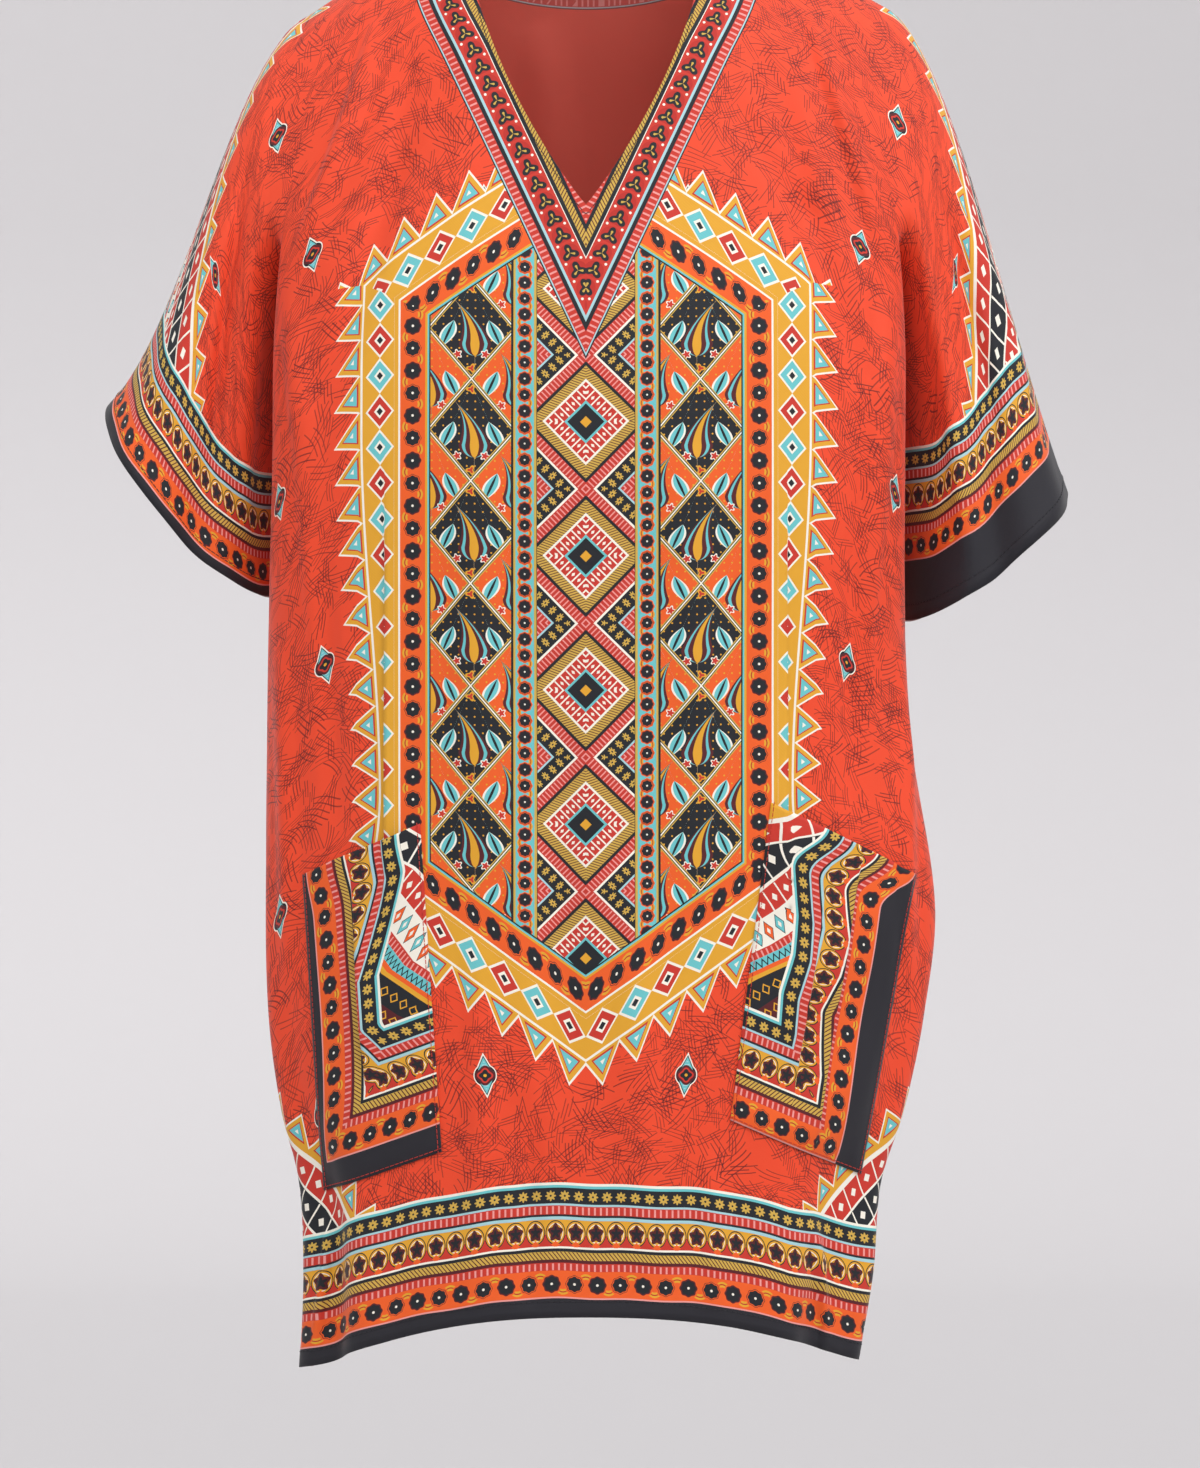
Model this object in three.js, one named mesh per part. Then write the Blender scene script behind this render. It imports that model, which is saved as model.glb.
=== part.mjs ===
// Kaftan top: a loose T-cut pull-over of printed cloth, in the hollow form it has when worn.
// Millimetres, +Z up, the front faces -Y, and the origin lies between the shoulders at the neck's
// highest points. Each cut piece is one closed wall of cloth. The pieces meet at the shoulder, the
// sleeve and the side seams in the plane y = 0, with a small gap between them.

import * as THREE from 'three';

// ---- driving sizes -----------------------------------------------------------------------------

const WALL = 1.2; // thickness of the cloth wall
const SEAM_GAP = 0.3; // space between two pieces at a seam
const ON_SEAM = 0.51 * SEAM_GAP; // a point nearer to y = 0 than this lies on a seam

const NECK_HALF_WIDTH = 72; // neck at its highest points, centre to edge
const NECK_FRONT_DROP = 185; // depth of the V
const NECK_BACK_DROP = 25;
const UNDERARM_Z = -250; // where the side seam meets the sleeve seam
const FOLD_START_Z = -185; // the underarm fold deepens from here to the underarm

const SHOULDER_ROUNDING = 100; // drop over which the cloth swings out from the shoulder line
const SHOULDER_POWER = 0.7;
const SHOULDER_SPREAD = 235; // half width of the upper section's ellipse
const SHOULDER_SQUARENESS = 2.3;
const BODY_SQUARENESS = 2.1;
const HOOK_POWER = 1.25; // how fast the cloth turns in behind the side fold
const NECK_CURVE = { in: 1.05, down: 0.556 }; // powers that bow the sides of the V
const HEM_CURVE_POWER = 2.35;
const HEM_CORNER_DROP = 4; // how much lower the hem's corner hangs than its side fold

// Across a half panel: shares of the grid from the centre to the side seam.
const NECK_SHARE = 0.4; // columns that start on the neck edge
const EDGE_SHARE = 0.8; // columns up to the side fold, the rest turn in behind it
const NECK_SPACING_POWER = 2.2;

// Down a panel: shares from the shoulder to the hem.
const UNDERARM_SHARE = 0.24;

const FRONT = {
  sign: -1,
  depth: 'front',
  edge: 'frontEdge',
  hemCentre: -818,
};
const BACK = {
  sign: 1,
  depth: 'back',
  edge: 'backEdge',
  hemCentre: -834,
};

// Each side: the shoulder tip where the sleeve leaves the shoulder, the hem corner, and the sleeve's
// top line and cuff. The top line is a cubic curve from the shoulder tip over two pull points to
// the cuff's top corner.
const LEFT = {
  sign: -1,
  name: 'left',
  shoulderTip: { x: 165, z: -64 },
  hemCorner: -859,
  topPulls: [{ x: 206, z: -88 }, { x: 231, z: -240 }],
  cuffTop: { x: 279, z: -291 },
  cuffBottom: { x: 183, z: -404 },
  cuffSag: 19, // how far the cuff's front hangs below the line between its corners
  cuffDepth: { front: 66, back: 60 },
};
const RIGHT = {
  sign: 1,
  name: 'right',
  shoulderTip: { x: 176, z: -58 },
  hemCorner: -853,
  topPulls: [{ x: 212, z: -76 }, { x: 240, z: -224 }],
  cuffTop: { x: 281, z: -341 },
  cuffBottom: { x: 186, z: -418 },
  cuffSag: 14,
  cuffDepth: { front: 68, back: 60 },
};

// Level sections of the body. left and right are the half widths out to the side folds, front and
// back the depths at the centre, frontEdge and backEdge the depths of the side folds, and tuckIn is
// how far the side seam lies inside the folds.
const SECTIONS = [
  { z: 0, left: 150, right: 160, front: 122, back: 98, frontEdge: 62, backEdge: 52, tuckIn: 26 },
  { z: -60, left: 150, right: 160, front: 128, back: 102, frontEdge: 62, backEdge: 52, tuckIn: 26 },
  { z: -120, left: 162, right: 168, front: 130, back: 114, frontEdge: 62, backEdge: 52, tuckIn: 26 },
  { z: -185, left: 173, right: 178, front: 134, back: 122, frontEdge: 63, backEdge: 53, tuckIn: 26 },
  { z: -250, left: 180, right: 184, front: 139, back: 121, frontEdge: 64, backEdge: 54, tuckIn: 26 },
  { z: -330, left: 181, right: 184, front: 137, back: 113, frontEdge: 66, backEdge: 54, tuckIn: 25 },
  { z: -404, left: 183, right: 184, front: 131, back: 109, frontEdge: 60, backEdge: 50, tuckIn: 19 },
  { z: -480, left: 185, right: 187, front: 127, back: 107, frontEdge: 46, backEdge: 40, tuckIn: 8 },
  { z: -584, left: 186, right: 202, front: 122, back: 105, frontEdge: 36, backEdge: 32, tuckIn: 3 },
  { z: -650, left: 183, right: 194, front: 118, back: 105, frontEdge: 34, backEdge: 30, tuckIn: 2 },
  { z: -702, left: 175, right: 182, front: 115, back: 105, frontEdge: 34, backEdge: 30, tuckIn: 2 },
  { z: -745, left: 164, right: 168, front: 112, back: 105, frontEdge: 34, backEdge: 30, tuckIn: 2 },
  { z: -800, left: 161, right: 163, front: 110, back: 105, frontEdge: 34, backEdge: 30, tuckIn: 2 },
  { z: -860, left: 163, right: 152, front: 108, back: 104, frontEdge: 34, backEdge: 30, tuckIn: 2 },
];

// Half width of the line where the sleeve leaves the body, above the underarm fold.
const ARM_LINE = [
  { z: -58, left: 165, right: 176 },
  { z: -95, left: 174, right: 181 },
  { z: -135, left: 180, right: 184 },
  { z: -185, left: 184, right: 187 },
  { z: -250, left: 184, right: 188 },
];

// Soft folds of the body. at is the share from the centre to the side seam, half is the share from
// a fold's crest to where it ends, and out is the height of the crest (a trough is below zero).
const BODY_FOLDS = [
  { face: FRONT, side: LEFT, top: -640, atTop: 0.46, atHem: 0.46, half: 0.1, out: 4 },
  { face: FRONT, side: LEFT, top: -660, atTop: 0.6, atHem: 0.58, half: 0.1, out: -6 },
  { face: FRONT, side: RIGHT, top: -640, atTop: 0.38, atHem: 0.38, half: 0.1, out: 4 },
  { face: FRONT, side: RIGHT, top: -680, atTop: 0.52, atHem: 0.52, half: 0.1, out: -6 },
  { face: FRONT, side: LEFT, top: -420, atTop: 0.66, atHem: 0.72, half: 0.1, out: 5 },
  { face: FRONT, side: RIGHT, top: -420, atTop: 0.68, atHem: 0.7, half: 0.1, out: 6 },
  { face: BACK, side: LEFT, top: -330, atTop: 0.16, atHem: 0.22, half: 0.12, out: 12 },
  { face: BACK, side: LEFT, top: -430, atTop: 0.38, atHem: 0.44, half: 0.1, out: -9 },
  { face: BACK, side: LEFT, top: -380, atTop: 0.54, atHem: 0.62, half: 0.11, out: 11 },
  { face: BACK, side: RIGHT, top: -360, atTop: 0.13, atHem: 0.17, half: 0.11, out: 11 },
  { face: BACK, side: RIGHT, top: -400, atTop: 0.34, atHem: 0.37, half: 0.1, out: -10 },
  { face: BACK, side: RIGHT, top: -350, atTop: 0.5, atHem: 0.56, half: 0.12, out: 12 },
];

// Soft folds of the sleeves. round is the share from the sleeve's top line to its seam, from the
// share of the way out to the cuff where the fold starts.
const SLEEVE_FOLDS = [
  { face: FRONT, side: LEFT, round: 0.62, from: 0.3, half: 0.14, out: -7 },
  { face: FRONT, side: LEFT, round: 0.36, from: 0.2, half: 0.16, out: 4 },
  { face: FRONT, side: RIGHT, round: 0.52, from: 0.25, half: 0.14, out: -8 },
  { face: FRONT, side: RIGHT, round: 0.28, from: 0.2, half: 0.16, out: 4 },
  { face: BACK, side: LEFT, round: 0.5, from: 0.2, half: 0.16, out: -8 },
  { face: BACK, side: RIGHT, round: 0.56, from: 0.2, half: 0.16, out: -8 },
];
const SLEEVE_SPRING = 24; // how far the sleeve springs away from the underarm fold
const SPRING_FULL = 0.625; // share round the sleeve where it springs away in full
const FOLD_GROWTH = 1.4; // how soon a body fold reaches its full height on its way to the hem

// Patch pockets, by corners across (x) and up (z). bag is how far the open top stands out.
const POCKETS = [
  {
    name: 'pocket_left',
    side: LEFT,
    innerTop: { x: 94, z: -537 },
    outerTop: { x: 162, z: -567 },
    innerBottom: { x: 82, z: -724 },
    outerBottom: { x: 151, z: -750 },
    bag: 3,
  },
  {
    name: 'pocket_right',
    side: RIGHT,
    innerTop: { x: 105, z: -525 },
    outerTop: { x: 189, z: -567 },
    innerBottom: { x: 82, z: -706 },
    outerBottom: { x: 158, z: -740 },
    bag: 3.5,
  },
];
const POCKET_STAND_OFF = WALL + 0.9; // from the panel's middle to the pocket's middle

const LEAST_MITRE = 0.55; // keeps a wall's points near the cloth in the sharpest folds

// Grid counts.
const ARM_ROWS = 9; // rows from the shoulder to the underarm
const BODY_ROWS = 18; // rows from the underarm to the hem
const NECK_COLUMNS = 8;
const SHOULDER_COLUMNS = 10;
const HOOK_COLUMNS = 3;
const HALF_COLUMNS = NECK_COLUMNS + SHOULDER_COLUMNS + HOOK_COLUMNS;
const SLEEVE_COLUMNS = 8;
const POCKET_COLUMNS = 10;
const POCKET_ROWS = 12;
const SHOULDER_ROW_POWER = 1.6; // packs the rows towards the rounded shoulder

// ---- curves ------------------------------------------------------------------------------------

const clamp01 = (value) => Math.min(1, Math.max(0, value));
const mix = (a, b, share) => a + (b - a) * share;
const ease = (value) => clamp01(value) ** 2 * (3 - 2 * clamp01(value));

// Smooth value of one column of a table whose z falls from row to row.
function along(table, column, z) {
  const last = table.length - 1;
  let row = table.findIndex((entry) => entry.z <= z);
  if (row === 0) return table[0][column];
  if (row < 0) return table[last][column];
  row -= 1;
  const slope = (index) => {
    const before = table[Math.max(index - 1, 0)];
    const after = table[Math.min(index + 1, last)];
    return (after[column] - before[column]) / (after.z - before.z);
  };
  const span = table[row + 1].z - table[row].z;
  const u = (z - table[row].z) / span;
  const start = table[row][column];
  const end = table[row + 1][column];
  const bend = (u * (1 - u) ** 2 * slope(row) - u ** 2 * (1 - u) * slope(row + 1)) * span;
  return start + (end - start) * u * u * (3 - 2 * u) + bend;
}

// Share of its full depth that the cloth has reached at a drop below the shoulder line.
function swing(drop) {
  return 1 - Math.exp(-((Math.max(drop, 0) / SHOULDER_ROUNDING) ** SHOULDER_POWER));
}

function squareness(share, power) {
  return (1 - clamp01(share) ** power) ** (1 / power);
}

function shoulderHeight(side, x) {
  const share = Math.max(0, x - NECK_HALF_WIDTH) / (side.shoulderTip.x - NECK_HALF_WIDTH);
  return side.shoulderTip.z * share;
}

// Upper edge of a panel: the neck edge, then the shoulder line.
function topEdge(face, side, x) {
  if (x >= NECK_HALF_WIDTH) return shoulderHeight(side, x);
  const share = x / NECK_HALF_WIDTH;
  if (face === FRONT) return -NECK_FRONT_DROP * (1 - share ** NECK_CURVE.in) ** NECK_CURVE.down;
  return -NECK_BACK_DROP * Math.sqrt(1 - share ** 2);
}

// Half width, as a share of the width out to the side fold, of a column at the neck and lower down.
function columnShare(side, s, lowered) {
  const neck = NECK_HALF_WIDTH / SECTIONS[0][side.name];
  const high = s < NECK_SHARE
    ? neck * (1 - (1 - s / NECK_SHARE) ** NECK_SPACING_POWER)
    : mix(neck, 1, (s - NECK_SHARE) / (EDGE_SHARE - NECK_SHARE));
  const low = Math.sin((Math.min(s / EDGE_SHARE, 1) * Math.PI) / 2);
  return mix(Math.min(high, 1), low, lowered);
}

function acrossEdge(side, s, z, lowered) {
  return along(SECTIONS, side.name, z) * columnShare(side, s, lowered);
}

function topHeight(face, side, s) {
  if (s >= EDGE_SHARE) {
    const turned = (s - EDGE_SHARE) / (1 - EDGE_SHARE);
    return shoulderHeight(side, mix(SECTIONS[0][side.name], side.shoulderTip.x, turned));
  }
  // The neck edge is where the column meets the curve, found by halving.
  let low = -NECK_FRONT_DROP;
  let high = 0;
  for (let step = 0; step < 40; step += 1) {
    const middle = (low + high) / 2;
    if (topEdge(face, side, acrossEdge(side, s, middle, 0)) > middle) low = middle;
    else high = middle;
  }
  return (low + high) / 2;
}

function hemHeight(face, side, s) {
  const atFold = side.hemCorner + HEM_CORNER_DROP;
  const turned = clamp01((s - EDGE_SHARE) / (1 - EDGE_SHARE));
  const curved = mix(face.hemCentre, atFold, columnShare(side, s, 1) ** HEM_CURVE_POWER);
  return curved - HEM_CORNER_DROP * turned;
}

// Body surface before its folds: s runs from the centre to the side, t from the top to the hem.
function bodyBase(face, side, s, t) {
  const top = topHeight(face, side, s);
  const z = mix(top, hemHeight(face, side, s), t);
  const across = acrossEdge(side, s, z, ease(t / UNDERARM_SHARE));
  const width = along(SECTIONS, side.name, z);
  const depth = along(SECTIONS, face.depth, z);
  const edgeDepth = along(SECTIONS, face.edge, z);
  const turned = clamp01((s - EDGE_SHARE) / (1 - EDGE_SHARE));
  const folded = ease((FOLD_START_Z - z) / (FOLD_START_Z - UNDERARM_Z));

  const openX = mix(across, along(ARM_LINE, side.name, z), turned);
  const openY = depth * squareness(openX / SHOULDER_SPREAD, SHOULDER_SQUARENESS)
    * swing(shoulderHeight(side, openX) - z);

  const hook = Math.sin((turned * Math.PI) / 2) ** HOOK_POWER;
  const foldedX = across - along(SECTIONS, 'tuckIn', z) * hook;
  const round = squareness(across / width, BODY_SQUARENESS);
  const foldedY = (edgeDepth * (1 - turned) + (depth - edgeDepth) * round) * swing(-z);

  return new THREE.Vector3(
    side.sign * mix(openX, foldedX, folded),
    face.sign * (SEAM_GAP / 2 + mix(openY, foldedY, folded)),
    z,
  );
}

// Sleeve surface before its folds: p runs from the body out to the cuff, q from the sleeve's top
// line round to its seam. start is the body's point for that q.
function sleeveBase(face, side, p, q, start) {
  const { shoulderTip, cuffTop, cuffBottom } = side;
  const angle = Math.PI * q;
  const chord = Math.hypot(cuffTop.x - cuffBottom.x, cuffTop.z - cuffBottom.z);
  const sag = (side.cuffSag * Math.sin(angle)) / chord;
  const cuffX = mix(cuffBottom.x, cuffTop.x, (1 + Math.cos(angle)) / 2)
    + sag * (cuffTop.z - cuffBottom.z);
  const cuffZ = mix(cuffBottom.z, cuffTop.z, (1 + Math.cos(angle)) / 2)
    - sag * (cuffTop.x - cuffBottom.x);
  const cuffY = side.cuffDepth[face.depth] * Math.sin(angle);

  const [firstPull, secondPull] = side.topPulls;
  const bend = (axis) => {
    const from = shoulderTip[axis];
    const to = cuffTop[axis];
    const curve = from * (1 - p) ** 3 + 3 * firstPull[axis] * p * (1 - p) ** 2
      + 3 * secondPull[axis] * p ** 2 * (1 - p) + to * p ** 3;
    return curve - mix(from, to, p);
  };
  const nearTop = Math.cos(angle / 2) ** 2;
  const spring = SLEEVE_SPRING * Math.sqrt(p) * (1 - p) * ease(q / SPRING_FULL);
  return new THREE.Vector3(
    mix(start.x, side.sign * cuffX, p)
      + side.sign * (nearTop * bend('x') + spring),
    mix(start.y, face.sign * (SEAM_GAP / 2 + cuffY), p),
    mix(start.z, cuffZ, p) + nearTop * bend('z'),
  );
}

// ---- folds -------------------------------------------------------------------------------------

const crest = (distance, half) => Math.cos(clamp01(distance / half) * (Math.PI / 2)) ** 2;

function bodyFold(face, side, s, z) {
  let out = 0;
  for (const fold of BODY_FOLDS) {
    if (fold.face === face && fold.side === side) {
      const down = clamp01((fold.top - z) / (fold.top - side.hemCorner));
      const centre = mix(fold.atTop, fold.atHem, down);
      out += fold.out * ease(down * FOLD_GROWTH) * crest(Math.abs(s - centre), fold.half);
    }
  }
  return out;
}

function sleeveFold(face, side, p, q) {
  let out = 0;
  for (const fold of SLEEVE_FOLDS) {
    if (fold.face === face && fold.side === side) {
      const grown = ease((p - fold.from) / (1 - fold.from));
      out += fold.out * grown * crest(Math.abs(q - fold.round), fold.half);
    }
  }
  return out;
}

// ---- sheets and walls --------------------------------------------------------------------------

// A sheet is the cloth's middle surface: points, triangles that face outwards, and each point's
// fold height. A wall is that sheet with its thickness.

// Direction that looks out of every facet around a point, also in the bottom of a deep fold: the
// mean of the facets' normals, pushed towards whichever facet it sees least.
function outwardDirection(facets, onSeam) {
  const flatten = (direction) => {
    if (onSeam) direction.y = 0;
    return direction.normalize();
  };
  const direction = new THREE.Vector3();
  facets.forEach((facet) => direction.add(facet));
  flatten(direction);
  const seen = (facet) => facet.dot(direction);
  for (let step = 0; step < 40; step += 1) {
    const least = facets.reduce((worst, facet) => (seen(facet) < seen(worst) ? facet : worst));
    direction.addScaledVector(least, 0.5 / (step + 1));
    flatten(direction);
  }
  return { normal: direction, stretch: 1 / Math.max(Math.min(...facets.map(seen)), LEAST_MITRE) };
}

function vertexNormals(sheet) {
  const facets = sheet.points.map(() => []);
  for (const triangle of sheet.triangles) {
    const [a, b, c] = triangle.map((index) => sheet.points[index]);
    const ab = new THREE.Vector3().subVectors(b, a);
    const normal = ab.cross(new THREE.Vector3().subVectors(c, a)).normalize();
    triangle.forEach((index) => facets[index].push(normal));
  }
  return sheet.points.map((point, index) => (
    outwardDirection(facets[index], Math.abs(point.y) < ON_SEAM)
  ));
}

function raiseFolds(sheet) {
  const normals = vertexNormals(sheet);
  sheet.points.forEach((point, index) => {
    if (sheet.folds[index]) point.addScaledVector(normals[index].normal, sheet.folds[index]);
  });
  return sheet;
}

// Gives a sheet its thickness, half to each side, and closes the wall along its edges.
function wall(sheet) {
  const count = sheet.points.length;
  const positions = [];
  const normals = vertexNormals(sheet);
  for (const direction of [1, -1]) {
    sheet.points.forEach((point, index) => {
      const { normal, stretch } = normals[index];
      const moved = point.clone().addScaledVector(normal, (direction * stretch * WALL) / 2);
      positions.push(moved.x, moved.y, moved.z);
    });
  }
  const triangles = [];
  const edges = new Map();
  for (const [a, b, c] of sheet.triangles) {
    triangles.push(a, b, c, count + a, count + c, count + b);
    for (const [from, to] of [[a, b], [b, c], [c, a]]) {
      if (!edges.delete(`${to}_${from}`)) edges.set(`${from}_${to}`, [from, to]);
    }
  }
  for (const [from, to] of edges.values()) {
    triangles.push(to, from, count + from, to, count + from, count + to);
  }
  const geometry = new THREE.BufferGeometry();
  geometry.setAttribute('position', new THREE.Float32BufferAttribute(positions, 3));
  geometry.setIndex(triangles);
  geometry.computeVertexNormals();
  return geometry;
}

// Adds the two triangles of a cell, split along its shorter diagonal and turned to face outwards.
function addCell(sheet, corners, outwards) {
  const [a, b, c, d] = outwards ? corners : [...corners].reverse();
  const { points } = sheet;
  if (points[a].distanceTo(points[c]) <= points[b].distanceTo(points[d])) {
    sheet.triangles.push([a, b, c], [a, c, d]);
  } else {
    sheet.triangles.push([a, b, d], [b, c, d]);
  }
}

// Share down the panel of a grid row.
function rowShare(row) {
  if (row <= ARM_ROWS) return UNDERARM_SHARE * (row / ARM_ROWS) ** SHOULDER_ROW_POWER;
  return mix(UNDERARM_SHARE, 1, (row - ARM_ROWS) / BODY_ROWS);
}

// Share across the half panel of a grid column.
function columnPlace(column) {
  if (column <= NECK_COLUMNS) return (NECK_SHARE * column) / NECK_COLUMNS;
  const afterNeck = column - NECK_COLUMNS;
  if (afterNeck <= SHOULDER_COLUMNS) {
    return mix(NECK_SHARE, EDGE_SHARE, afterNeck / SHOULDER_COLUMNS);
  }
  return mix(EDGE_SHARE, 1, (afterNeck - SHOULDER_COLUMNS) / HOOK_COLUMNS);
}

// The underarm is the row where both seams meet, so the body's side point there lies on y = 0.
function bodyRowShare(face, side, s, row) {
  const share = rowShare(row);
  if (row === 0) return 0;
  const sideTop = topHeight(face, side, 1);
  const atSide = (UNDERARM_Z - sideTop) / (hemHeight(face, side, 1) - sideTop);
  const matched = row <= ARM_ROWS
    ? (share / UNDERARM_SHARE) * atSide
    : mix(atSide, 1, (share - UNDERARM_SHARE) / (1 - UNDERARM_SHARE));
  return mix(share, matched, s);
}

function panelSheet(face) {
  const sheet = { points: [], triangles: [], folds: [] };
  const reach = HALF_COLUMNS + SLEEVE_COLUMNS;
  const index = new Map();
  for (let row = 0; row <= ARM_ROWS + BODY_ROWS; row += 1) {
    for (let column = -reach; column <= reach; column += 1) {
      const side = column < 0 ? LEFT : RIGHT;
      const step = Math.abs(column);
      if (step > HALF_COLUMNS && row > ARM_ROWS) continue;
      const s = columnPlace(Math.min(step, HALF_COLUMNS));
      const point = bodyBase(face, side, s, bodyRowShare(face, side, s, row));
      let fold = bodyFold(face, side, s, point.z);
      if (step > HALF_COLUMNS) {
        const p = (step - HALF_COLUMNS) / SLEEVE_COLUMNS;
        const q = row / ARM_ROWS;
        point.copy(sleeveBase(face, side, p, q, point));
        fold = sleeveFold(face, side, p, q);
      }
      index.set(`${row}_${column}`, sheet.points.length);
      sheet.points.push(point);
      sheet.folds.push(fold);
    }
  }
  for (let row = 0; row < ARM_ROWS + BODY_ROWS; row += 1) {
    const limit = row < ARM_ROWS ? reach : HALF_COLUMNS;
    for (let column = -limit; column < limit; column += 1) {
      const corners = [[0, 0], [1, 0], [1, 1], [0, 1]].map(
        ([down, over]) => index.get(`${row + down}_${column + over}`),
      );
      addCell(sheet, corners, face === FRONT);
    }
  }
  return raiseFolds(sheet);
}

// Point of a panel's facets, and its normal, at a place across and up on the panel's outer face.
function placeOnPanel(sheet, normals, x, z) {
  const corner = new THREE.Triangle();
  const place = new THREE.Vector3(x, 0, z);
  const shares = new THREE.Vector3();
  for (const triangle of sheet.triangles) {
    const [a, b, c] = triangle.map((index) => sheet.points[index]);
    corner.set(
      new THREE.Vector3(a.x, 0, a.z),
      new THREE.Vector3(b.x, 0, b.z),
      new THREE.Vector3(c.x, 0, c.z),
    );
    if (corner.getBarycoord(place, shares) && Math.min(shares.x, shares.y, shares.z) >= 0) {
      const point = new THREE.Vector3();
      const normal = new THREE.Vector3();
      [shares.x, shares.y, shares.z].forEach((share, index) => {
        point.addScaledVector(sheet.points[triangle[index]], share);
        normal.addScaledVector(normals[triangle[index]].normal, share);
      });
      return { point, normal: normal.normalize() };
    }
  }
  throw new Error(`no panel at ${x}, ${z}`);
}

// A pocket follows the panel's own facets, moved out along the panel's normals.
function pocketSheet(pocket, panel) {
  const sheet = { points: [], triangles: [], folds: [] };
  const normals = vertexNormals(panel);
  for (let row = 0; row <= POCKET_ROWS; row += 1) {
    for (let column = 0; column <= POCKET_COLUMNS; column += 1) {
      const down = row / POCKET_ROWS;
      const over = column / POCKET_COLUMNS;
      const place = (axis) => mix(
        mix(pocket.innerTop[axis], pocket.outerTop[axis], over),
        mix(pocket.innerBottom[axis], pocket.outerBottom[axis], over),
        down,
      );
      const found = placeOnPanel(panel, normals, pocket.side.sign * place('x'), place('z'));
      const mouth = Math.sin(Math.PI * over) * (1 - down) ** 3;
      found.point.addScaledVector(found.normal, POCKET_STAND_OFF + pocket.bag * mouth);
      sheet.points.push(found.point);
      sheet.folds.push(0);
    }
  }
  const width = POCKET_COLUMNS + 1;
  for (let row = 0; row < POCKET_ROWS; row += 1) {
    for (let column = 0; column < POCKET_COLUMNS; column += 1) {
      const first = row * width + column;
      const corners = [first, first + width, first + width + 1, first + 1];
      addCell(sheet, corners, pocket.side === RIGHT);
    }
  }
  return sheet;
}

// ---- the garment -------------------------------------------------------------------------------

function cloth(colour) {
  return new THREE.MeshStandardMaterial({
    color: colour,
    roughness: 0.75,
    metalness: 0,
    side: THREE.DoubleSide,
  });
}

const garment = new THREE.Group();

function addPiece(name, sheet, colour) {
  const mesh = new THREE.Mesh(wall(sheet), cloth(colour));
  mesh.name = name;
  garment.add(mesh);
}

const frontSheet = panelSheet(FRONT);
addPiece('front', frontSheet, '#e84b2e');
addPiece('back', panelSheet(BACK), '#dd4429');
for (const pocket of POCKETS) {
  addPiece(pocket.name, pocketSheet(pocket, frontSheet), '#2c2a31');
}

export default garment;
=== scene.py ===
"""Kaftan top of printed cotton, in the hollow form it has when worn.

The cloth's own maths is in millimetres, +Z up and the front facing -Y, as in the CAD frame. Every
Blender object is in metres. Each cut piece is a thin shell on the form of the solid it replaces,
with its creases, its sewn edges and its print, which is drawn in the flat sizes of the cut cloth.
"""

import logging
import math
from dataclasses import dataclass, field
from enum import Enum, auto
from typing import Any

import bmesh
import bpy
import numpy as np
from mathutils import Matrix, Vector
from mathutils.bvhtree import BVHTree


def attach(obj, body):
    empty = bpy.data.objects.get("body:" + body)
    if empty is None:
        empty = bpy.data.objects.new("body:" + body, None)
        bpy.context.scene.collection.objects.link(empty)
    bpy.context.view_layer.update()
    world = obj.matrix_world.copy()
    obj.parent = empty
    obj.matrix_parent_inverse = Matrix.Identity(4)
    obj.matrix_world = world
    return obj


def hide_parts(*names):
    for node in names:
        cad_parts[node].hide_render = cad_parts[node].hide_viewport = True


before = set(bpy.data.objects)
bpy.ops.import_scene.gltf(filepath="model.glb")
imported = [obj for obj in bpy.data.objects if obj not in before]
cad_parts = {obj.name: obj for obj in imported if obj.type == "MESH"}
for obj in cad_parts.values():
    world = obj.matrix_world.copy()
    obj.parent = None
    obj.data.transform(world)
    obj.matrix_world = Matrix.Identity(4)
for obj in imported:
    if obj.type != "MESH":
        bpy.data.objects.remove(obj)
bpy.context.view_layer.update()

log = logging.getLogger("kaftan")

MM = 0.001
Array = np.ndarray

# ---- driving sizes, in millimetres ---------------------------------------------------------------

SEAM_GAP = 0.3
SHELL = 0.9  # cotton of 0.3 mm, drawn thicker so that its turned edges show
NECK_HALF_WIDTH = 72.0
NECK_FRONT_DROP = 185.0
NECK_BACK_DROP = 25.0
UNDERARM_Z = -250.0
FOLD_START_Z = -185.0
SHOULDER_ROUNDING = 100.0
SHOULDER_POWER = 0.7
SHOULDER_SPREAD = 235.0
SHOULDER_SQUARENESS = 2.3
BODY_SQUARENESS = 2.1
HOOK_POWER = 1.25
NECK_CURVE_IN, NECK_CURVE_DOWN = 1.05, 0.556
HEM_CURVE_POWER = 2.35
HEM_CORNER_DROP = 4.0
SLEEVE_SPRING = 24.0
SPRING_FULL = 0.625
FOLD_GROWTH = 1.4

# Shares across a half panel and down it, as the solids have them.
NECK_SHARE, EDGE_SHARE = 0.4, 0.8
NECK_SPACING_POWER = 2.2
UNDERARM_SHARE = 0.24
SHOULDER_ROW_POWER = 1.6

# Fine grid: cells across the neck, the shoulder, the turned-in side and the sleeve, and down.
NECK_CELLS, SHOULDER_CELLS, HOOK_CELLS, SLEEVE_CELLS = 56, 58, 12, 46
ARM_CELLS, BODY_CELLS = 46, 128

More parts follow.
